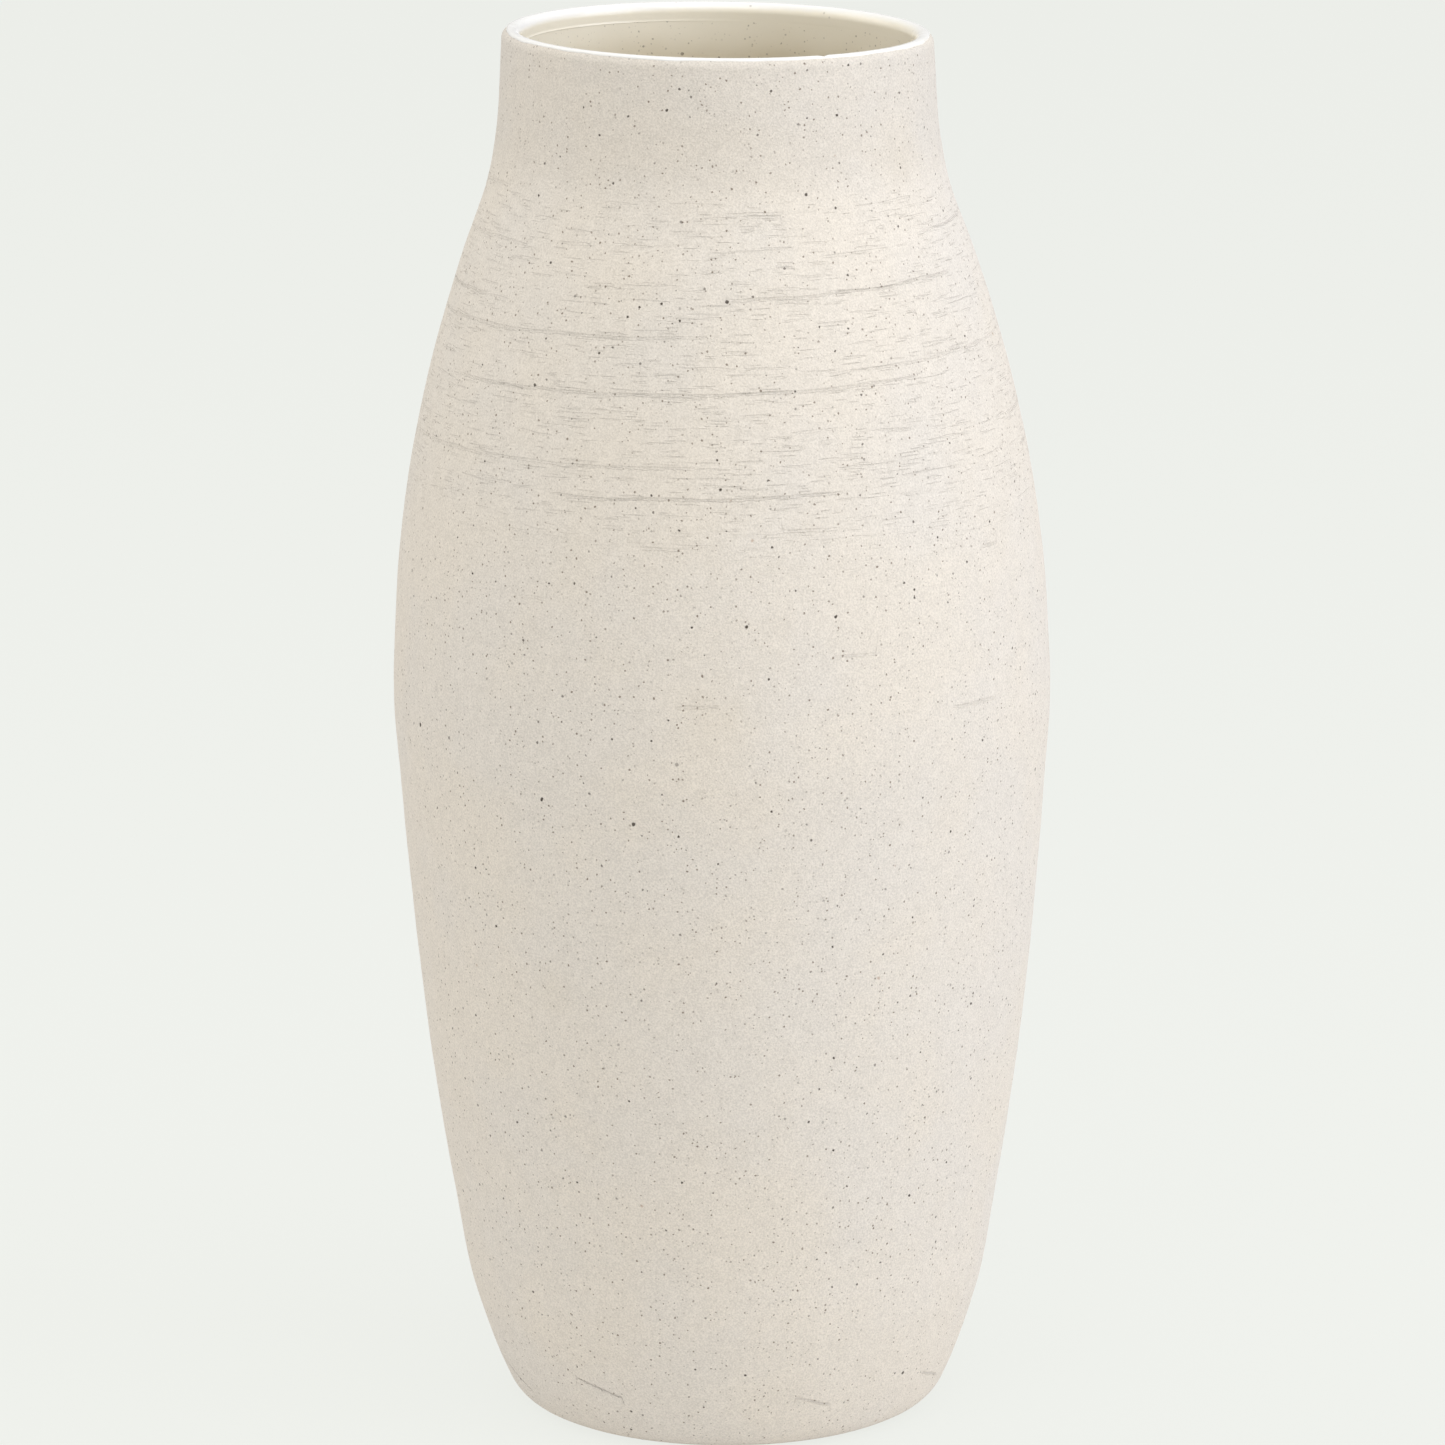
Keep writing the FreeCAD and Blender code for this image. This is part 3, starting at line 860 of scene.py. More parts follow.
def spot_group():
    """One soft round spot at a place on the wall."""
    name = "Single spot"
    if name in bpy.data.node_groups:
        return bpy.data.node_groups[name]
    takes = (
        ("Point", VECTOR, None),
        ("Place", VECTOR, None),
        ("Radius", FLOAT, 0.4),
        ("Softness", FLOAT, 0.1),
    )
    tree, given, result = new_group(name, "ShaderNodeTree", takes, (("Mask", FLOAT),))
    gap = vector_calc(tree, "DISTANCE", given["Point"], given["Place"])
    edge = calc(tree, "DIVIDE", calc(tree, "SUBTRACT", given["Radius"], gap), given["Softness"])
    tree.links.new(step_between(tree, edge, -1.0, 1.0), result["Mask"])
    return tree


def groove_group():
    """A thin groove from the distance to its line: a cut with a raised lower lip, and painted shade along
    the cut.
    """
    name = "Dragged groove"
    if name in bpy.data.node_groups:
        return bpy.data.node_groups[name]
    takes = (("Break", FLOAT, 0.5), ("Gap", FLOAT, 2.5), ("Cut", FLOAT, 0.0), ("Width", FLOAT, 0.17))
    tree, given, result = new_group(name, "ShaderNodeTree", takes, (("Height", FLOAT), ("Shade", FLOAT)))
    broken = given["Break"]
    width = calc(tree, "MULTIPLY", given["Width"], step_between(tree, broken, 0.3, 0.7, 0.7, 1.5))
    across = calc(tree, "DIVIDE", given["Gap"], width)
    cut = calc(tree, "EXPONENT", calc(tree, "MULTIPLY", calc(tree, "MULTIPLY", across, across), -1.0))
    lower = calc(tree, "ADD", across, 2.1)
    burr = calc(tree, "EXPONENT", calc(tree, "MULTIPLY", calc(tree, "MULTIPLY", lower, lower), -1.0))
    strength = calc(tree, "MULTIPLY", given["Cut"], step_between(tree, broken, 0.25, 0.55, 0.35, 1.0))
    height = calc(tree, "SUBTRACT", calc(tree, "MULTIPLY", burr, 0.90), cut)
    tree.links.new(calc(tree, "MULTIPLY", calc(tree, "MULTIPLY", height, strength), 0.15), result["Height"])
    tree.links.new(calc(tree, "MULTIPLY", cut, strength), result["Shade"])
    return tree


def use_group(tree, group, inputs):
    """Places a shared shader group and returns its outputs."""
    made = tree.nodes.new("ShaderNodeGroup")
    made.node_tree = group
    for key, value in inputs.items():
        plug(tree, made.inputs[key], value)
    return made.outputs


def mix_colour(tree, factor, first, second, blend="MIX"):
    """Mixes two colours by a factor."""
    made = add_node(tree, "ShaderNodeMix", None, data_type="RGBA", blend_type=blend)
    plug(tree, made.inputs["Factor"], factor)
    plug(tree, made.inputs["A"], first)
    plug(tree, made.inputs["B"], second)
    return next(socket for socket in made.outputs if socket.type == "RGBA")


def scaled(tree, value, factor):
    """A value times a constant."""
    return calc(tree, "MULTIPLY", value, factor)


# --- materials ---------------------------------------------------------------------------


def new_material(name):
    """An empty material and its tree, or the finished one and None."""
    old = bpy.data.materials.get(name)
    if old is not None:
        return old, None
    material = bpy.data.materials.new(name)
    material.use_nodes = True
    tree = material.node_tree
    tree.nodes.clear()
    return material, tree


def wall_point(turn, height, shape, section):
    """Place on the leaning wall, in mm, for a turn in degrees and a height in mm."""
    radius = float(section.outside(height * MM)) / MM
    angle = math.radians(turn)
    lean = shape.lean / MM * height * MM / VASE_HEIGHT
    return (radius * math.sin(angle) - lean, -radius * math.cos(angle), height)


def body_specks(tree, point, base, finish, fade=1.0):
    """Lays the clay's specks over a base colour, faint ones first."""
    point = use_group(tree, ragged_group(), {"Point": point, "Size": 0.45, "Reach": 0.38})["Point"]
    fine = use_group(
        tree,
        speckle_group(),
        {"Point": point, "Spacing": 1.00, "Radius": 0.17, "Softness": 0.06, "Seed": 1.0},
    )
    dull = step_between(tree, fine["Tone"], 0.1, 1.0, 0.08 * fade, 0.85 * fade)
    colour = mix_colour(tree, scaled(tree, fine["Mask"], dull), base, (*finish.speck_colour, 1))
    middle = use_group(
        tree,
        speckle_group(),
        {"Point": point, "Spacing": 2.7, "Radius": 0.215, "Softness": 0.08, "Seed": 4.0},
    )
    strong = step_between(tree, middle["Tone"], 0.0, 1.0, 0.20 * fade, 0.95 * fade)
    colour = mix_colour(tree, scaled(tree, middle["Mask"], strong), colour, (*finish.iron_colour, 1))
    large = use_group(
        tree,
        speckle_group(),
        {"Point": point, "Spacing": 9.5, "Radius": 0.30, "Softness": 0.10, "Seed": 9.0},
    )
    dark = step_between(tree, large["Tone"], 0.2, 0.5, 0.4 * fade, 0.9 * fade)
    colour = mix_colour(tree, scaled(tree, large["Mask"], dark), colour, (*finish.iron_colour, 1))
    rust = use_group(
        tree,
        speckle_group(),
        {"Point": point, "Spacing": 12.0, "Radius": 0.26, "Softness": 0.16, "Seed": 15.0},
    )
    colour = mix_colour(tree, scaled(tree, rust["Mask"], 0.5 * fade), colour, (*finish.rust_colour, 1))
    pits = calc(tree, "ADD", scaled(tree, middle["Mask"], 0.6), large["Mask"])
    return colour, pits


def stoneware_material(finish, shape, section):
    """Unglazed speckled stoneware."""
    material, tree = new_material("Speckled_stoneware")
    if tree is None:
        return material
    coordinates = add_node(tree, "ShaderNodeTexCoord").outputs["Object"]
    point = vector_calc(tree, "SCALE", coordinates, scale=1 / MM)
    height = add_node(tree, "ShaderNodeSeparateXYZ", {0: point}).outputs["Z"]

    clouds = noise(tree, point, 0.028, 3.0, 0.55)
    base = mix_colour(
        tree,
        step_between(tree, clouds, 0.35, 0.65),
        (*finish.clay_colour, 1),
        (*finish.clay_warm_colour, 1),
    )
    grain = use_group(tree, grain_group(), {"Point": point, "Grain size": 0.40, "Depth": 0.130})
    shade = step_between(tree, grain["Shade"], 0.3, 0.7, 0.87, 1.08)
    base = mix_colour(tree, 1.0, base, combine(tree, shade, shade, shade), "MULTIPLY")
    ragged = use_group(tree, ragged_group(), {"Point": point, "Size": 0.8, "Reach": 0.6})["Point"]
    stained = 0.0
    random = np.random.default_rng(shape.seed + 60)
    for index in range(STAINS):
        level = random.uniform(0.08, 0.93) * VASE_HEIGHT / MM
        place = wall_point(index * GOLDEN_TURN, level, shape, section)
        width = random.uniform(*STAIN_RADIUS)
        strength = random.uniform(*STAIN_STRENGTH)
        spot = use_group(
            tree,
            spot_group(),
            {"Point": ragged, "Place": place, "Radius": width, "Softness": width},
        )
        stained = calc(tree, "ADD", scaled(tree, spot["Mask"], strength), stained)
    base = mix_colour(tree, scaled(tree, stained, 0.30), base, (*finish.toast_colour, 1))
    rubbed = calc(
        tree,
        "MULTIPLY",
        step_between(tree, height, 1.1, 0.1),
        step_between(tree, clouds, 0.3, 0.7, 0.25, 0.55),
    )
    base = mix_colour(tree, rubbed, base, (*finish.rubbed_colour, 1))
    # Painted shade: the neck above the tooled zone is made 6% darker in colour.
    smooth = step_between(tree, height, TOOLED_HIGH, TOOLED_HIGH + NECK_FADE, 1.0, 0.94)
    base = mix_colour(tree, 1.0, base, combine(tree, smooth, smooth, smooth), "MULTIPLY")
    colour, pits = body_specks(tree, point, base, finish)
    spots = 0.0
    for index in range(IRON_SPOTS):
        level = random.uniform(0.12, 0.88) * VASE_HEIGHT / MM
        place = wall_point(index * GOLDEN_TURN, level, shape, section)
        radius = random.uniform(*SPOT_RADIUS)
        spot = use_group(
            tree,
            spot_group(),
            {"Point": ragged, "Place": place, "Radius": radius, "Softness": 0.10},
        )
        spots = calc(tree, "ADD", spot["Mask"], spots)
    colour = mix_colour(tree, calc(tree, "MINIMUM", spots, 0.95), colour, (*finish.iron_colour, 1))

    low = step_between(tree, height, TOOLED_LOW - TOOLED_FADE, TOOLED_LOW + TOOLED_FADE)
    high = step_between(tree, height, TOOLED_HIGH + NECK_EDGE, TOOLED_HIGH)
    zone = calc(tree, "ADD", calc(tree, "MULTIPLY", calc(tree, "MULTIPLY", low, high), 0.85), 0.15)
    streaks = noise(tree, vector_calc(tree, "MULTIPLY", point, (0.11, 0.11, 2.1)), 1.0, 1.0, 0.5)
    patches = noise(tree, vector_calc(tree, "MULTIPLY", point, (0.22, 0.22, 0.45)), 1.0, 1.0, 0.5)
    fine_cut = calc(tree, "MULTIPLY", step_between(tree, streaks, 0.59, 0.66), zone)
    fine_cut = calc(tree, "MULTIPLY", fine_cut, step_between(tree, patches, 0.42, 0.56, 0.05, 1.0))
    bump = calc(tree, "SUBTRACT", grain["Height"], scaled(tree, fine_cut, 0.125))
    bump = calc(tree, "SUBTRACT", bump, scaled(tree, pits, 0.030))
    line_shade = 0.0
    broken = noise(tree, vector_calc(tree, "MULTIPLY", point, (0.5, 0.5, 2.0)), 1.0, 2.0, 0.6)
    for line_set in range(GROOVE_SETS):
        gap = add_node(tree, "ShaderNodeAttribute", None, attribute_name=f"line_{line_set}").outputs["Fac"]
        cut = add_node(tree, "ShaderNodeAttribute", None, attribute_name=f"cut_{line_set}").outputs["Fac"]
        groove = use_group(tree, groove_group(), {"Break": broken, "Gap": gap, "Cut": cut, "Width": 0.13})
        bump = calc(tree, "ADD", bump, groove["Height"])
        line_shade = calc(tree, "ADD", groove["Shade"], line_shade)
    # Painted shade: the colour is darkened at the bottom of the grooves and of the dragged cuts.
    painted_cut_shade = calc(tree, "ADD", scaled(tree, line_shade, 0.03), scaled(tree, fine_cut, 0.012))
    colour = mix_colour(tree, painted_cut_shade, colour, (*finish.groove_shade_colour, 1))
    relief = add_node(
        tree,
        "ShaderNodeBump",
        {"Strength": 1.0, "Distance": MM, "Height": bump},
    ).outputs["Normal"]
    rough = step_between(tree, grain["Shade"], 0.3, 0.7, 0.86, 0.72)
    skin = add_node(
        tree,
        "ShaderNodeBsdfPrincipled",
        {"Base Color": colour, "Roughness": rough, "Normal": relief},
    )
    skin.inputs["Specular IOR Level"].default_value = 0.35
    add_node(tree, "ShaderNodeOutputMaterial", {"Surface": skin.outputs[0]})
    return material


def liner_material(finish):
    """Glossy cream glaze over the speckled clay, with painted shade that turns it darker and more olive
    below the rim.
    """
    material, tree = new_material("Liner_glaze")
    if tree is None:
        return material
    coordinates = add_node(tree, "ShaderNodeTexCoord").outputs["Object"]
    point = vector_calc(tree, "SCALE", coordinates, scale=1 / MM)
    height = add_node(tree, "ShaderNodeSeparateXYZ", {0: point}).outputs["Z"]
    top = VASE_HEIGHT / MM
    clouds = noise(tree, point, 0.06, 2.0, 0.5)
    # Painted shade: the glaze turns darker and more olive from just below the rim downwards.
    depth = step_between(tree, calc(tree, "ADD", height, scaled(tree, clouds, 8.0)), top * 0.945, top * 1.0)
    base = mix_colour(tree, depth, (*finish.glaze_shade_colour, 1), (*finish.glaze_colour, 1))
    colour, _ = body_specks(tree, point, base, finish, 0.6)
    ripple = noise(tree, vector_calc(tree, "MULTIPLY", point, (0.05, 0.05, 0.16)), 1.0, 1.0, 0.5)
    peel = noise(tree, point, 0.5, 1.0, 0.5)
    bump = calc(tree, "ADD", scaled(tree, ripple, 0.10), scaled(tree, peel, 0.006))
    relief = add_node(
        tree,
        "ShaderNodeBump",
        {"Strength": 1.0, "Distance": MM, "Height": bump},
    ).outputs["Normal"]
    rough = step_between(tree, peel, 0.3, 0.7, 0.10, 0.18)
    skin = add_node(
        tree,
        "ShaderNodeBsdfPrincipled",
        {"Base Color": colour, "Roughness": rough, "Normal": relief},
    )
    skin.inputs["IOR"].default_value = 1.5
    add_node(tree, "ShaderNodeOutputMaterial", {"Surface": skin.outputs[0]})
    return material


def lip_material(finish):
    """White glossy glaze, breaking slightly where it thins at its edge."""
    material, tree = new_material("Lip_glaze")
    if tree is None:
        return material
    coordinates = add_node(tree, "ShaderNodeTexCoord").outputs["Object"]
    point = vector_calc(tree, "SCALE", coordinates, scale=1 / MM)
    height = add_node(tree, "ShaderNodeSeparateXYZ", {0: point}).outputs["Z"]
    top = VASE_HEIGHT / MM
    clouds = noise(tree, point, 0.35, 2.0, 0.5)
    thin = step_between(tree, calc(tree, "ADD", height, scaled(tree, clouds, 0.5)), top - 1.6, top - 0.2)
    base = mix_colour(tree, thin, (*finish.glaze_colour, 1), (*finish.lip_colour, 1))
    specks = use_group(
        tree,
        speckle_group(),
        {"Point": point, "Spacing": 4.0, "Radius": 0.22, "Softness": 0.14, "Seed": 6.0},
    )
    colour = mix_colour(tree, scaled(tree, specks["Mask"], 0.35), base, (*finish.speck_colour, 1))
    relief = add_node(
        tree,
        "ShaderNodeBump",
        {"Strength": 1.0, "Distance": MM, "Height": scaled(tree, clouds, 0.02)},
    ).outputs["Normal"]
    rough = step_between(tree, clouds, 0.3, 0.7, 0.12, 0.22)
    skin = add_node(
        tree,
        "ShaderNodeBsdfPrincipled",
        {"Base Color": colour, "Roughness": rough, "Normal": relief},
    )
    skin.inputs["IOR"].default_value = 1.5
    add_node(tree, "ShaderNodeOutputMaterial", {"Surface": skin.outputs[0]})
    return material


# --- settings ----------------------------------------------------------------------------


class VaseShape(bpy.types.PropertyGroup):
    """Sizes of the marks that throwing and trimming left."""

    columns: bpy.props.IntProperty(name="Columns", description="Faces round the wall", default=384, min=32)
    lean: bpy.props.FloatProperty(
        name="Lean",
        description="How far the top stands to one side",
        default=0.002,
        unit="LENGTH",
    )
    rim_lift: bpy.props.FloatProperty(
        name="Rim lift",
        description="How much higher one side of the rim is",
        default=0.0006,
        unit="LENGTH",
    )
    drag_depth: bpy.props.FloatProperty(
        name="Drag depth",
        description="Depth of the dragged marks",
        default=0.00012,
        unit="LENGTH",
    )
    drag_length: bpy.props.FloatProperty(
        name="Drag length",
        description="Length of a dragged mark",
        default=0.014,
        unit="LENGTH",
    )
    drag_height: bpy.props.FloatProperty(
        name="Drag height",
        description="Height of a dragged mark",
        default=0.0010,
        unit="LENGTH",
    )
    ring_depth: bpy.props.FloatProperty(
        name="Ring depth",
        description="Depth of the throwing rings",
        default=0.00012,
        unit="LENGTH",
    )
    ring_height: bpy.props.FloatProperty(
        name="Ring height",
        description="Height of one throwing ring",
        default=0.005,
        unit="LENGTH",
    )
    wave_depth: bpy.props.FloatProperty(
        name="Wave depth",
        description="Unevenness of the wall",
        default=0.0004,
        unit="LENGTH",
    )
    wave_size: bpy.props.FloatProperty(
        name="Wave size",
        description="Width of one uneven place",
        default=0.06,
        unit="LENGTH",
    )
    spiral_depth: bpy.props.FloatProperty(
        name="Spiral depth",
        description="Depth of the trimming spiral",
        default=0.00009,
        unit="LENGTH",
    )
    spiral_pitch: bpy.props.FloatProperty(
        name="Spiral pitch",
        description="Pitch of the trimming spiral",
        default=0.0022,
        unit="LENGTH",
    )
    seed: bpy.props.IntProperty(name="Seed", description="Chooses another set of marks", default=3)


class VaseFinish(bpy.types.PropertyGroup):
    """Colours of clay and glaze."""

    clay_colour: bpy.props.FloatVectorProperty(
        name="Clay",
        description="Fired clay",
        subtype="COLOR",
        default=(0.722, 0.672, 0.598),
    )
    clay_warm_colour: bpy.props.FloatVectorProperty(
        name="Warm clay",
        description="Warmer clouds in the clay",
        subtype="COLOR",
        default=(0.738, 0.678, 0.588),
    )
    speck_colour: bpy.props.FloatVectorProperty(
        name="Specks",
        description="Faint specks",
        subtype="COLOR",
        default=(0.160, 0.118, 0.080),
    )
    iron_colour: bpy.props.FloatVectorProperty(
        name="Iron",
        description="Dark iron spots",
        subtype="COLOR",
        default=(0.042, 0.030, 0.020),
    )
    rust_colour: bpy.props.FloatVectorProperty(
        name="Rust",
        description="Rusty bleeding spots",
        subtype="COLOR",
        default=(0.330, 0.170, 0.080),
    )
    # Painted shade at the bottom of the grooves and of the dragged cuts.
    groove_shade_colour: bpy.props.FloatVectorProperty(
        name="Groove shade",
        description="Bottom of the grooves",
        subtype="COLOR",
        default=(0.420, 0.360, 0.270),
    )
    toast_colour: bpy.props.FloatVectorProperty(
        name="Toast",
        description="Faint toasted stains",
        subtype="COLOR",
        default=(0.560, 0.480, 0.330),
    )
    rubbed_colour: bpy.props.FloatVectorProperty(
        name="Rubbed",
        description="Foot ring rubbed on shelves",
        subtype="COLOR",
        default=(0.480, 0.430, 0.370),
    )
    glaze_colour: bpy.props.FloatVectorProperty(
        name="Glaze",
        description="Liner glaze near the rim",
        subtype="COLOR",
        default=(0.930, 0.870, 0.720),
    )
    # Painted shade of the liner glaze further down.
    glaze_shade_colour: bpy.props.FloatVectorProperty(
        name="Shaded glaze",
        description="Liner glaze further down",
        subtype="COLOR",
        default=(0.620, 0.520, 0.335),
    )
    lip_colour: bpy.props.FloatVectorProperty(
        name="Lip",
        description="White glaze on the lip",
        subtype="COLOR",
        default=(0.860, 0.850, 0.815),
    )


class VaseStudio(bpy.types.PropertyGroup):
    """Camera and light."""

    camera_distance: bpy.props.FloatProperty(
        name="Distance",
        description="Camera to the axis of the vase",
        default=1.6,
        unit="LENGTH",
    )
    camera_side: bpy.props.FloatProperty(
        name="Side",
        description="Camera to the side of the axis",
        default=-0.00095,
        unit="LENGTH",
    )
    camera_height: bpy.props.FloatProperty(
        name="Height",
        description="Camera above the floor",
        default=0.52058,
        unit="LENGTH",
    )
    camera_dip: bpy.props.FloatProperty(
        name="Dip",
        description="How far the camera looks down",
        default=math.radians(13.05),
        subtype="ANGLE",
    )
    lens: bpy.props.FloatProperty(name="Lens", description="Focal length in millimetres", default=189.84)
    backdrop: bpy.props.FloatVectorProperty(
        name="Backdrop",
        description="Colour of the floor and backdrop",
        subtype="COLOR",
        default=(0.855, 0.871, 0.831),
    )
    fill: bpy.props.FloatProperty(name="Fill", description="Strength of the even light", default=0.668)
    key: bpy.props.FloatProperty(
        name="Key",
        description="Strength of the large soft light",
        default=8.7,
        unit="POWER",
    )


SHAPE = "vase_shape"
FINISH = "vase_finish"
STUDIO = "vase_studio"
_kept = {}


def the_section():
    """The wall's outline, read from the frame once."""
    if "section" not in _kept:
        _kept["section"] = Section()
    return _kept["section"]


def settings(context):
    """The shape, finish and studio settings of the scene."""
    scene = context.scene
    return getattr(scene, SHAPE), getattr(scene, FINISH), getattr(scene, STUDIO)


def settle(piece, slot, *nodes):
    """The finished piece rides on the vase and stands for its CAD nodes."""
    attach(piece, "root")
    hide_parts(*nodes)
    for label in ("skin", "drag"):
        if label in piece.data.attributes:
            piece.data.attributes.remove(piece.data.attributes[label])


# --- pieces ------------------------------------------------------------------------------


def lower_wall_rows(section):
    """Foot ring, wall up to the belly joint, and back down the inside to the floor's seat."""
    rows = Rows()
    inner = section.seat - 3 * MM
    recess = section.recess
    ring = section.ring_in
    slope = ring - recess
    rows.add(between((inner, recess), (slope - 0.4 * MM, recess), 14), spiral=1.0, skin=0.5)
    for out, up in ((-0.35, 1.0), (-0.1, 0.96), (0.12, 0.86), (0.5, 0.5), (0.85, 0.14), (1.08, 0.03)):
        rows.add([(slope + out * recess, up * recess)], skin=0.5)
    rows.add(between((ring + 0.4 * MM, 0), (section.ring_out, 0), 8), skin=0.0)
    corner = np.array([0.0, 0.06, 0.25, 0.55, 0.95, 1.45, 2.05, 2.75, 3.55, 4.45, 5.4, 6.5, 7.7]) * MM
    rows.add(
        section.outer(corner),
        rings=smooth_step(corner, 0, 8 * MM),
        skin=smooth_step(corner, 0, 2 * MM),
    )
    wall = np.arange(9.0 * MM, section.belly_seam - 0.5 * MM, 0.82 * MM)
    rows.add(section.outer(wall), drag=drag_strength(wall), rings=1.0, skin=1.0)
    seam = section.belly_seam
    outer = section.outer(np.array([seam]))[0]
    rows.add([outer], drag=drag_strength(np.array([seam])), rings=1.0, skin=1.0)
    inside = section.clay_inside.at_heights(np.array([seam]))[0]
    rows.add(between(outer, inside, 4)[1:])
    down = np.concatenate([np.arange(seam, 20 * MM, -8 * MM), np.array([17, 14, 11.5, 9.8, 8.7]) * MM])
    rows.add(section.clay_inside.at_heights(down))
    fillet = rows.points[-1][0]
    rows.add([(fillet - 1.2 * MM, section.floor_top + 0.1 * MM), (fillet - 3.5 * MM, section.floor_top)])
    rows.add(
        [(section.seat, section.floor_top), (section.seat, section.ledge_top), (inner, section.ledge_top)]
    )
    return rows.close()


def shoulder_rows(section):
    """Wall from the belly joint to the neck joint, finely divided where the clay was dragged."""
    rows = Rows()
    smooth = np.arange(section.belly_seam, 0.645 * VASE_HEIGHT, 1.3 * MM)
    fine = np.arange(smooth[-1] + 0.6 * MM, section.neck_seam - 0.2 * MM, 0.37 * MM)
    heights = np.concatenate([smooth, fine, [section.neck_seam]])
    rows.add(section.outer(heights), drag=drag_strength(heights), rings=1.0, skin=1.0)
    top = section.outer(heights[-1:])[0]
    inside = section.clay_inside.at_heights(np.array([section.neck_seam_in]))[0]
    rows.add(between(top, inside, 4)[1:])
    rows.add(section.clay_inside.at_heights(np.linspace(section.neck_seam_in, section.belly_seam, 13)))
    bottom = section.clay_inside.at_heights(np.array([section.belly_seam]))[0]
    rows.add(between(bottom, rows.points[0], 4)[1:])
    return rows.close()


def neck_rows(section):
    """Collar from the neck joint over the lip and back down the bore."""
    rows = Rows()
    start = np.arange(section.neck_seam, section.neck_seam + 5 * MM, 0.37 * MM)
    rest = np.arange(start[-1] + 0.5 * MM, section.lip_height - 0.2 * MM, 0.55 * MM)
    heights = np.concatenate([start, rest])
    rows.add(section.outer(heights), drag=drag_strength(heights), rings=1.0, skin=1.0)
    for angle in np.arange(0.0, 181.0, 12.0):
        way = math.radians(angle)
        radius = section.lip_radius + section.lip_round * math.cos(way)
        rows.add([(radius, section.lip_height + section.lip_round * math.sin(way))], skin=1.0)
    bore = section.lip_radius - section.lip_round
    rows.add(between((bore, section.lip_height - 1 * MM), (bore, section.lip_height - 4 * MM), 3))
    rows.add(
        section.clay_inside.at_heights(np.linspace(section.lip_height - 6 * MM, section.neck_seam_in, 8))
    )
    inside = rows.points[-1]
    rows.add(between(inside, rows.points[0], 4)[1:])
    return rows.close()


def floor_rows(section):
    """Disc of the floor with a trimming spiral underneath."""
    rows = Rows()
    inner = section.seat - 3 * MM
    count = int(inner / (0.42 * MM))
    under = between((0, section.recess), (inner, section.recess), count)
    rows.add(under, spiral=smooth_step(under[:, 0], 0, 3 * MM), skin=0.5)
    rows.add([(inner, section.recess)], spiral=1.0, skin=0.5)
    rows.add(
        [(inner, section.ledge_top), (section.seat, section.ledge_top), (section.seat, section.floor_top)]
    )
    rows.add(between((section.seat - 1 * MM, section.floor_top), (0, section.floor_top), 8))
    return rows.add([(0, section.floor_top)])


def liner_rows(section):
    """Glaze from the floor up the inside: its back on the clay, its face towards the axis."""
    rows = Rows()
    top = section.glaze_joint
    clay = section.clay_inside
    face = section.glaze_inside
    back_heights = np.concatenate(
        [
            section.floor_top + np.array([0.3, 1.2, 2.8, 5.2, 8.5]) * MM,
            np.arange(24 * MM, top, 7 * MM),
            [top],
        ]
    )
    back = clay.at_heights(back_heights)
    flat = back[0][0] - 2.5 * MM
    rows.add(between((0, section.floor_top), (flat, section.floor_top), 7))
    rows.add([(flat, section.floor_top)])
    rows.add(back)
    face_heights = np.concatenate(
        [
            [top],
            np.arange(top - 1 * MM, 0.8 * VASE_HEIGHT, -1 * MM),
            np.arange(0.8 * VASE_HEIGHT, 26 * MM, -2.5 * MM),
        ]
    )
    rows.add(
        face.at_heights(face_heights),
        rings=1.6 * smooth_step(top - face_heights, 0, 8 * MM),
        skin=1.0,
    )
    low = section.glaze_floor + np.array([14, 11.5, 9.2, 7.2, 5.4, 3.9, 2.7, 1.7, 0.9, 0.35]) * MM
    rows.add(face.at_heights(low), rings=1.0, skin=1.0)
    edge = rows.points[-1][0]
    rows.add(
        [
            (edge - 1.0 * MM, section.glaze_floor + 0.12 * MM),
            (edge - 2.2 * MM, section.glaze_floor + 0.02 * MM),
        ],
        skin=1.0,
    )
    rows.add(between((edge - 4.0 * MM, section.glaze_floor), (0, section.glaze_floor), 14), skin=1.0)
    return rows.add([(0, section.glaze_floor)], skin=1.0)


GLAZE_EDGE = 60.0
GLAZE_ROUNDING = 16.0


def lip_rows(section):
    """Glaze over the crest of the lip, thin at its outer edge."""
    rows = Rows()
    buried = 0.04 * MM
    bore = section.lip_radius - section.lip_round
    bottom = section.glaze_joint
    for angle in np.concatenate(
        [np.arange(GLAZE_EDGE, GLAZE_EDGE + 20, 2.0), np.arange(GLAZE_EDGE + 20, 181.0, 5.0)]
    ):
        way = math.radians(angle)
        part = min(1.0, (angle - GLAZE_EDGE) / GLAZE_ROUNDING)
        swell = -buried + (section.glaze + buried) * math.sqrt(1 - (1 - part) ** 2)
        reach = section.lip_round + swell
        rows.add(
            [(section.lip_radius + reach * math.cos(way), section.lip_height + reach * math.sin(way))],
            skin=1.0,
        )
    face = bore - section.glaze
    rows.add(between((face, section.lip_height - 0.3 * MM), (face, bottom), 5), skin=1.0)
    rows.add([(face, bottom), (bore + buried, bottom)], skin=0.0)
    reach = section.lip_round - buried
    for angle in np.arange(180.0, GLAZE_EDGE + 4, -8.0):
        way = math.radians(angle)
        rows.add([(section.lip_radius + reach * math.cos(way), section.lip_height + reach * math.sin(way))])
    return rows.close()


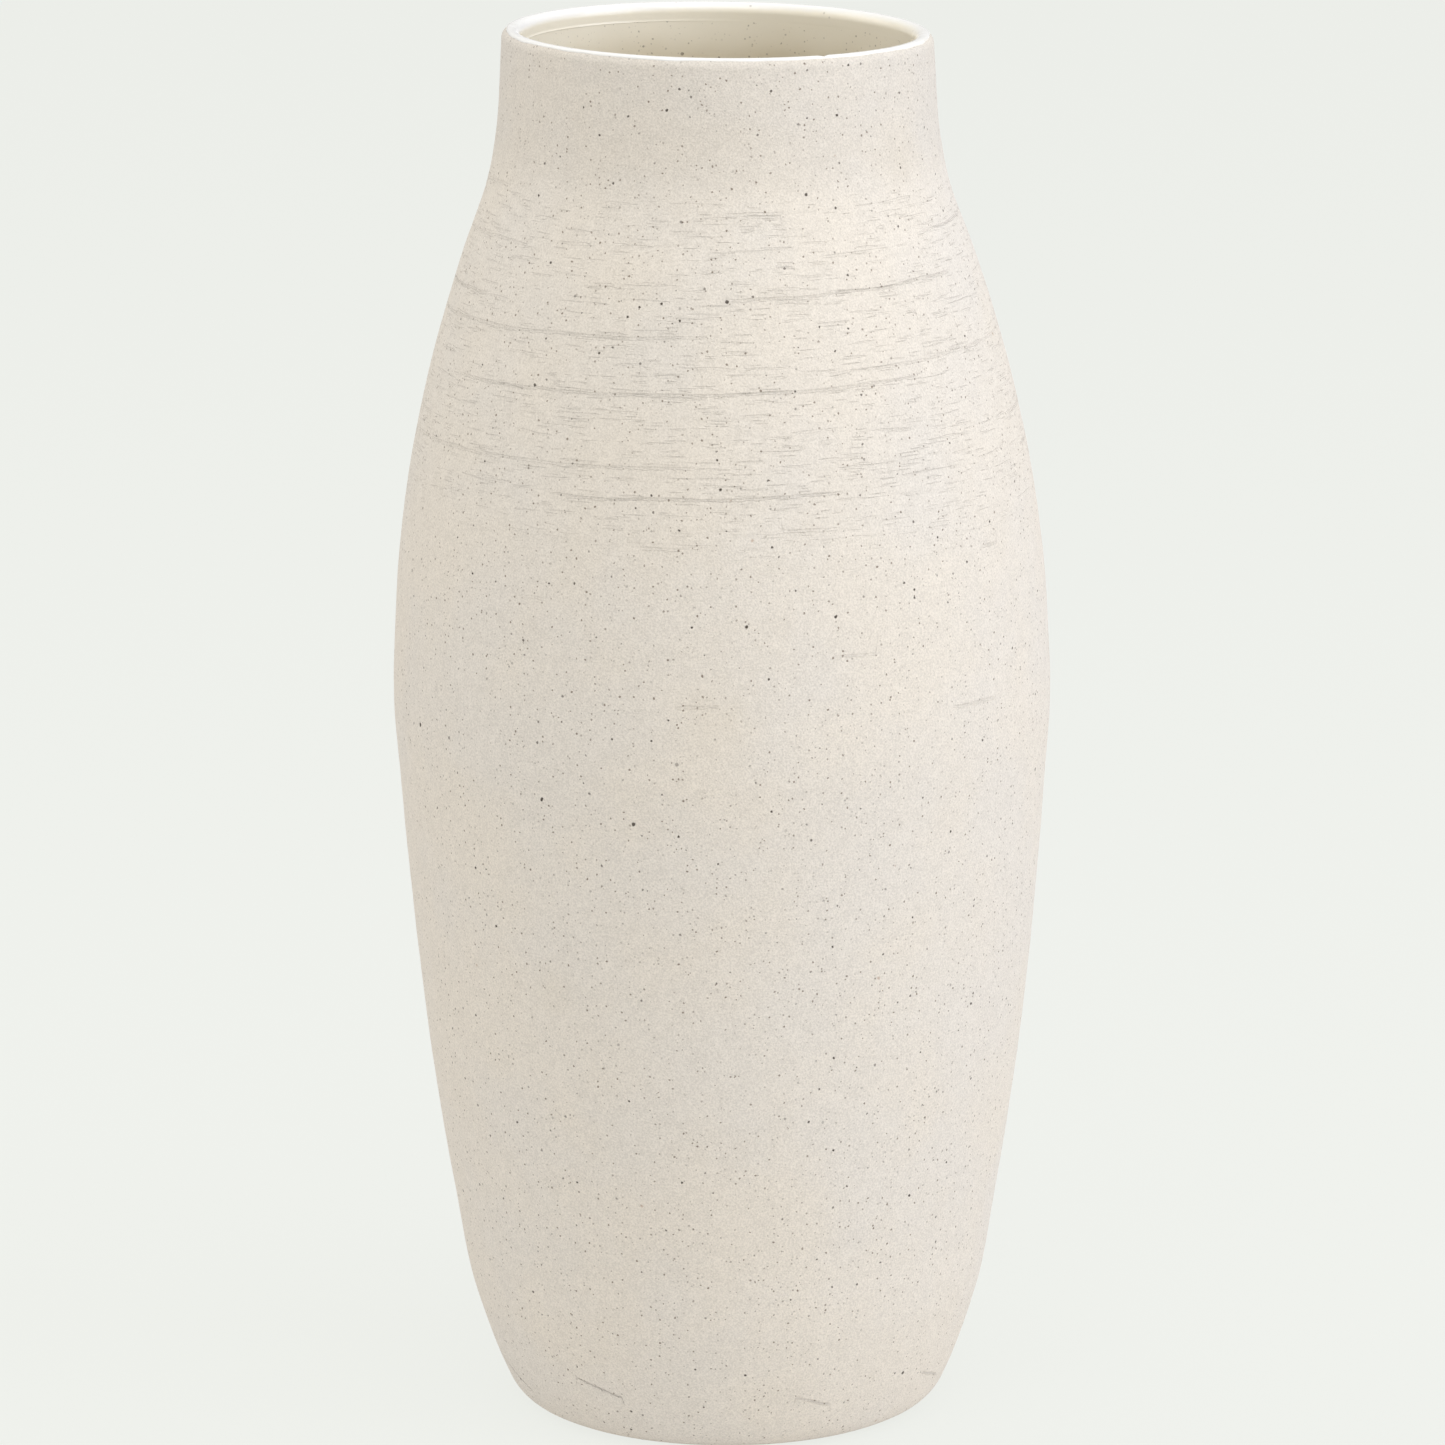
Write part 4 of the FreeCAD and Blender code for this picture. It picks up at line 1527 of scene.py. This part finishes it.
def ripple_lip(piece, section, shape):
    """Wavers the glaze's outer edge and presses one small nick into the front of the lip."""
    mesh = piece.data
    co, x, turn, height = surface_places(mesh, shape)
    tilt = shape.rim_lift * smooth_step(co[:, 2] / VASE_HEIGHT, 0.8, 1.0) * -np.sin(np.radians(turn))
    radius = np.hypot(x, co[:, 1])
    across = radius - section.lip_radius
    up = co[:, 2] - tilt - section.lip_height
    angle = np.degrees(np.arctan2(up, across))
    reach = np.hypot(across, up)
    random = np.random.default_rng(shape.seed + 40)
    wave = np.zeros(len(co))
    for count in (3, 5, 8, 13, 21, 34):
        wave += random.uniform(0.6, 1.4) * 6.0 / math.sqrt(count) * np.sin(
            np.radians(turn) * count + random.uniform(0, 6.28)
        )
    weight = 1 - smooth_step(angle, GLAZE_EDGE + 10, GLAZE_EDGE + 55)
    weight[angle < 0] = 0
    angle = angle + wave * weight
    nick = np.exp(-(((turn - 30) / 0.9) ** 2)) * np.exp(-(((angle - 112) / 30) ** 2))
    reach = reach - 0.50 * MM * nick
    new_radius = np.where(up > -0.1 * MM, section.lip_radius + reach * np.cos(np.radians(angle)), radius)
    new_up = np.where(up > -0.1 * MM, reach * np.sin(np.radians(angle)), up)
    factor = new_radius / radius
    co[:, 0] += x * (factor - 1)
    co[:, 1] *= factor
    co[:, 2] = section.lip_height + new_up + tilt
    mesh.vertices.foreach_set("co", co.ravel())


class VASE_OT_turn_lower_wall(bpy.types.Operator):
    """Turns the lower wall with its foot ring"""

    bl_idname = "vase.turn_lower_wall"
    bl_label = "Turn lower wall"

    def execute(self, context):
        shape, finish, _ = settings(context)
        section = the_section()
        clay = stoneware_material(finish, shape, section)
        piece = turn_piece("lower_wall_fired", lower_wall_rows(section), clay, shape.columns, shape)
        carve_grooves(piece, shape)
        finish_mesh(piece)
        settle(piece, "stoneware", "lower_wall", "floor_slip", "belly_slip")
        return {"FINISHED"}


class VASE_OT_turn_shoulder(bpy.types.Operator):
    """Turns the shoulder and drags the grit round it"""

    bl_idname = "vase.turn_shoulder"
    bl_label = "Turn shoulder"

    def execute(self, context):
        shape, finish, _ = settings(context)
        section = the_section()
        clay = stoneware_material(finish, shape, section)
        piece = turn_piece("shoulder_fired", shoulder_rows(section), clay, shape.columns, shape)
        carve_grooves(piece, shape)
        finish_mesh(piece)
        settle(piece, "stoneware", "shoulder_wall", "neck_slip")
        return {"FINISHED"}


class VASE_OT_turn_neck(bpy.types.Operator):
    """Turns the neck up to its bare lip"""

    bl_idname = "vase.turn_neck"
    bl_label = "Turn neck"

    def execute(self, context):
        shape, finish, _ = settings(context)
        section = the_section()
        clay = stoneware_material(finish, shape, section)
        piece = turn_piece("neck_fired", neck_rows(section), clay, shape.columns, shape)
        carve_grooves(piece, shape)
        finish_mesh(piece)
        settle(piece, "stoneware", "neck_collar")
        return {"FINISHED"}


class VASE_OT_press_floor(bpy.types.Operator):
    """Presses the floor disc and trims it underneath"""

    bl_idname = "vase.press_floor"
    bl_label = "Press floor"

    def execute(self, context):
        shape, finish, _ = settings(context)
        section = the_section()
        clay = stoneware_material(finish, shape, section)
        piece = turn_piece("floor_fired", floor_rows(section), clay, shape.columns, shape)
        carve_grooves(piece, shape)
        finish_mesh(piece)
        settle(piece, "stoneware", "floor_disc")
        return {"FINISHED"}


class VASE_OT_pour_liner(bpy.types.Operator):
    """Pours the glaze that lines the inside"""

    bl_idname = "vase.pour_liner"
    bl_label = "Pour liner glaze"

    def execute(self, context):
        shape, finish, _ = settings(context)
        piece = turn_piece(
            "liner_glaze_poured",
            liner_rows(the_section()),
            liner_material(finish),
            shape.columns,
            shape,
        )
        finish_mesh(piece)
        settle(piece, "liner_glaze", "liner_glaze")
        return {"FINISHED"}


class VASE_OT_dip_lip(bpy.types.Operator):
    """Dips the lip in white glaze"""

    bl_idname = "vase.dip_lip"
    bl_label = "Dip lip glaze"

    def execute(self, context):
        shape, finish, _ = settings(context)
        section = the_section()
        piece = turn_piece(
            "lip_glaze_dipped",
            lip_rows(section),
            lip_material(finish),
            shape.columns * 2,
            shape,
        )
        ripple_lip(piece, section, shape)
        finish_mesh(piece, 60)
        settle(piece, "lip_glaze", "lip_glaze")
        return {"FINISHED"}


# --- studio ------------------------------------------------------------------------------


def floor_material(studio):
    """Pale floor that shows the backdrop's colour and only a breath of shadow."""
    material, tree = new_material("Studio_floor")
    if tree is None:
        return material
    colour = (*studio.backdrop, 1)
    path = add_node(tree, "ShaderNodeLightPath")
    glow = add_node(tree, "ShaderNodeEmission", {"Color": colour, "Strength": 0.90})
    matte = add_node(tree, "ShaderNodeBsdfDiffuse", {"Color": (0.085, 0.087, 0.083, 1)})
    seen = add_node(tree, "ShaderNodeAddShader", {0: glow.outputs[0], 1: matte.outputs[0]})
    board = add_node(tree, "ShaderNodeBsdfDiffuse", {"Color": (0.50, 0.50, 0.49, 1)})
    even = add_node(tree, "ShaderNodeEmission", {"Color": (1.0, 0.99, 0.98, 1), "Strength": 0.42})
    bounce = add_node(tree, "ShaderNodeAddShader", {0: board.outputs[0], 1: even.outputs[0]})
    shown = add_node(
        tree,
        "ShaderNodeMixShader",
        {0: path.outputs["Is Camera Ray"], 1: bounce.outputs[0], 2: seen.outputs[0]},
    )
    back = add_node(tree, "ShaderNodeNewGeometry").outputs["Backfacing"]
    clear = add_node(tree, "ShaderNodeBsdfTransparent")
    both = add_node(tree, "ShaderNodeMixShader", {0: back, 1: shown.outputs[0], 2: clear.outputs[0]})
    add_node(tree, "ShaderNodeOutputMaterial", {"Surface": both.outputs[0]})
    return material


def lay_floor(studio):
    """Lays the plain pale floor that the vase stands on."""
    size = 40 * VASE_HEIGHT
    mesh = bpy.data.meshes.new("studio_floor")
    corners = [(-size, -size, 0), (size, -size, 0), (size, size, 0), (-size, size, 0)]
    mesh.from_pydata(corners, [], [(0, 1, 2, 3)])
    mesh.materials.append(floor_material(studio))
    floor = bpy.data.objects.new("studio_floor", mesh)
    bpy.context.scene.collection.objects.link(floor)


def soft_light(name, turn, climb, distance, width, tall, power, colour):
    """A large area light that faces the middle of the vase."""
    lamp = bpy.data.lights.new(name, "AREA")
    lamp.shape = "RECTANGLE"
    lamp.size = width
    lamp.size_y = tall
    lamp.energy = power
    lamp.color = colour
    around = math.radians(turn)
    up = math.radians(climb)
    way = Vector((math.sin(around) * math.cos(up), -math.cos(around) * math.cos(up), math.sin(up)))
    light = bpy.data.objects.new(name, lamp)
    light.location = Vector((0, 0, VASE_HEIGHT / 2)) + way * distance
    light.rotation_mode = "QUATERNION"
    light.rotation_quaternion = (-way).to_track_quat("-Z", "Y")
    bpy.context.scene.collection.objects.link(light)


def set_sky(studio):
    """Even light from all round, a little stronger from above, seen as the backdrop."""
    world = bpy.data.worlds.new("Studio_room")
    world.use_nodes = True
    tree = world.node_tree
    tree.nodes.clear()
    way = add_node(tree, "ShaderNodeTexCoord").outputs["Generated"]
    climb = add_node(tree, "ShaderNodeSeparateXYZ", {0: way}).outputs["Z"]
    strength = step_between(tree, climb, -0.2, 1.0, studio.fill * 0.85, studio.fill * 1.25)
    even = add_node(tree, "ShaderNodeBackground", {"Color": (1.0, 0.995, 0.985, 1), "Strength": strength})
    seen = add_node(tree, "ShaderNodeBackground", {"Color": (*studio.backdrop, 1), "Strength": 1.0})
    path = add_node(tree, "ShaderNodeLightPath")
    both = add_node(
        tree,
        "ShaderNodeMixShader",
        {0: path.outputs["Is Camera Ray"], 1: even.outputs[0], 2: seen.outputs[0]},
    )
    add_node(tree, "ShaderNodeOutputWorld", {"Surface": both.outputs[0]})
    bpy.context.scene.world = world


def place_camera(studio):
    """Sets up the camera in front of the vase, looking slightly down."""
    lens = bpy.data.cameras.new("Studio_camera")
    lens.lens = studio.lens
    lens.sensor_width = 36
    lens.clip_start = 0.05
    lens.clip_end = 50
    lens.dof.use_dof = False
    camera = bpy.data.objects.new("Studio_camera", lens)
    camera.location = (studio.camera_side, -studio.camera_distance, studio.camera_height)
    camera.rotation_euler = (math.pi / 2 - studio.camera_dip, 0, 0)
    bpy.context.scene.collection.objects.link(camera)
    bpy.context.scene.camera = camera


class VASE_OT_set_studio(bpy.types.Operator):
    """Lays the floor and sets the lights and the camera"""

    bl_idname = "vase.set_studio"
    bl_label = "Set studio"

    def execute(self, context):
        studio = settings(context)[2]
        lay_floor(studio)
        set_sky(studio)
        soft_light("Key_softbox", 74, 26, 1.5, 1.0, 1.3, studio.key, (0.93, 0.99, 1.17))
        soft_light("Side_softbox", -108, 34, 1.6, 0.9, 1.2, studio.key * 0.41, (1.0, 0.99, 1.0))
        soft_light("Top_softbox", 6, 66, 1.5, 1.2, 0.9, studio.key * 0.85, (1.0, 0.99, 0.98))
        place_camera(studio)
        context.scene.view_settings.view_transform = "Standard"
        context.scene.view_settings.look = "None"
        return {"FINISHED"}


class VASE_PT_panel(bpy.types.Panel):
    """Steps of making the vase, in order"""

    bl_idname = "VASE_PT_panel"
    bl_label = "Stoneware vase"
    bl_space_type = "VIEW_3D"
    bl_region_type = "UI"
    bl_category = "Vase"

    def draw(self, context):
        layout = self.layout
        for group in settings(context):
            box = layout.box()
            for key in group.__annotations__:
                box.prop(group, key)
        for step in STEPS:
            layout.operator(step.bl_idname)


STEPS = (
    VASE_OT_turn_lower_wall,
    VASE_OT_turn_shoulder,
    VASE_OT_turn_neck,
    VASE_OT_press_floor,
    VASE_OT_pour_liner,
    VASE_OT_dip_lip,
    VASE_OT_set_studio,
)
CLASSES = (VaseShape, VaseFinish, VaseStudio, *STEPS, VASE_PT_panel)


def register():
    """Adds the classes and the settings to Blender."""
    for made in CLASSES:
        bpy.utils.register_class(made)
    bpy.types.Scene.vase_shape = bpy.props.PointerProperty(type=VaseShape)
    bpy.types.Scene.vase_finish = bpy.props.PointerProperty(type=VaseFinish)
    bpy.types.Scene.vase_studio = bpy.props.PointerProperty(type=VaseStudio)


def unregister():
    """Takes the classes and the settings away again."""
    del bpy.types.Scene.vase_studio
    del bpy.types.Scene.vase_finish
    del bpy.types.Scene.vase_shape
    for made in reversed(CLASSES):
        bpy.utils.unregister_class(made)


def main():
    """Builds the whole vase."""
    register()
    bpy.ops.vase.turn_lower_wall()
    bpy.ops.vase.turn_shoulder()
    bpy.ops.vase.turn_neck()
    bpy.ops.vase.press_floor()
    bpy.ops.vase.pour_liner()
    bpy.ops.vase.dip_lip()
    bpy.ops.vase.set_studio()


if __name__ == "__main__":
    main()
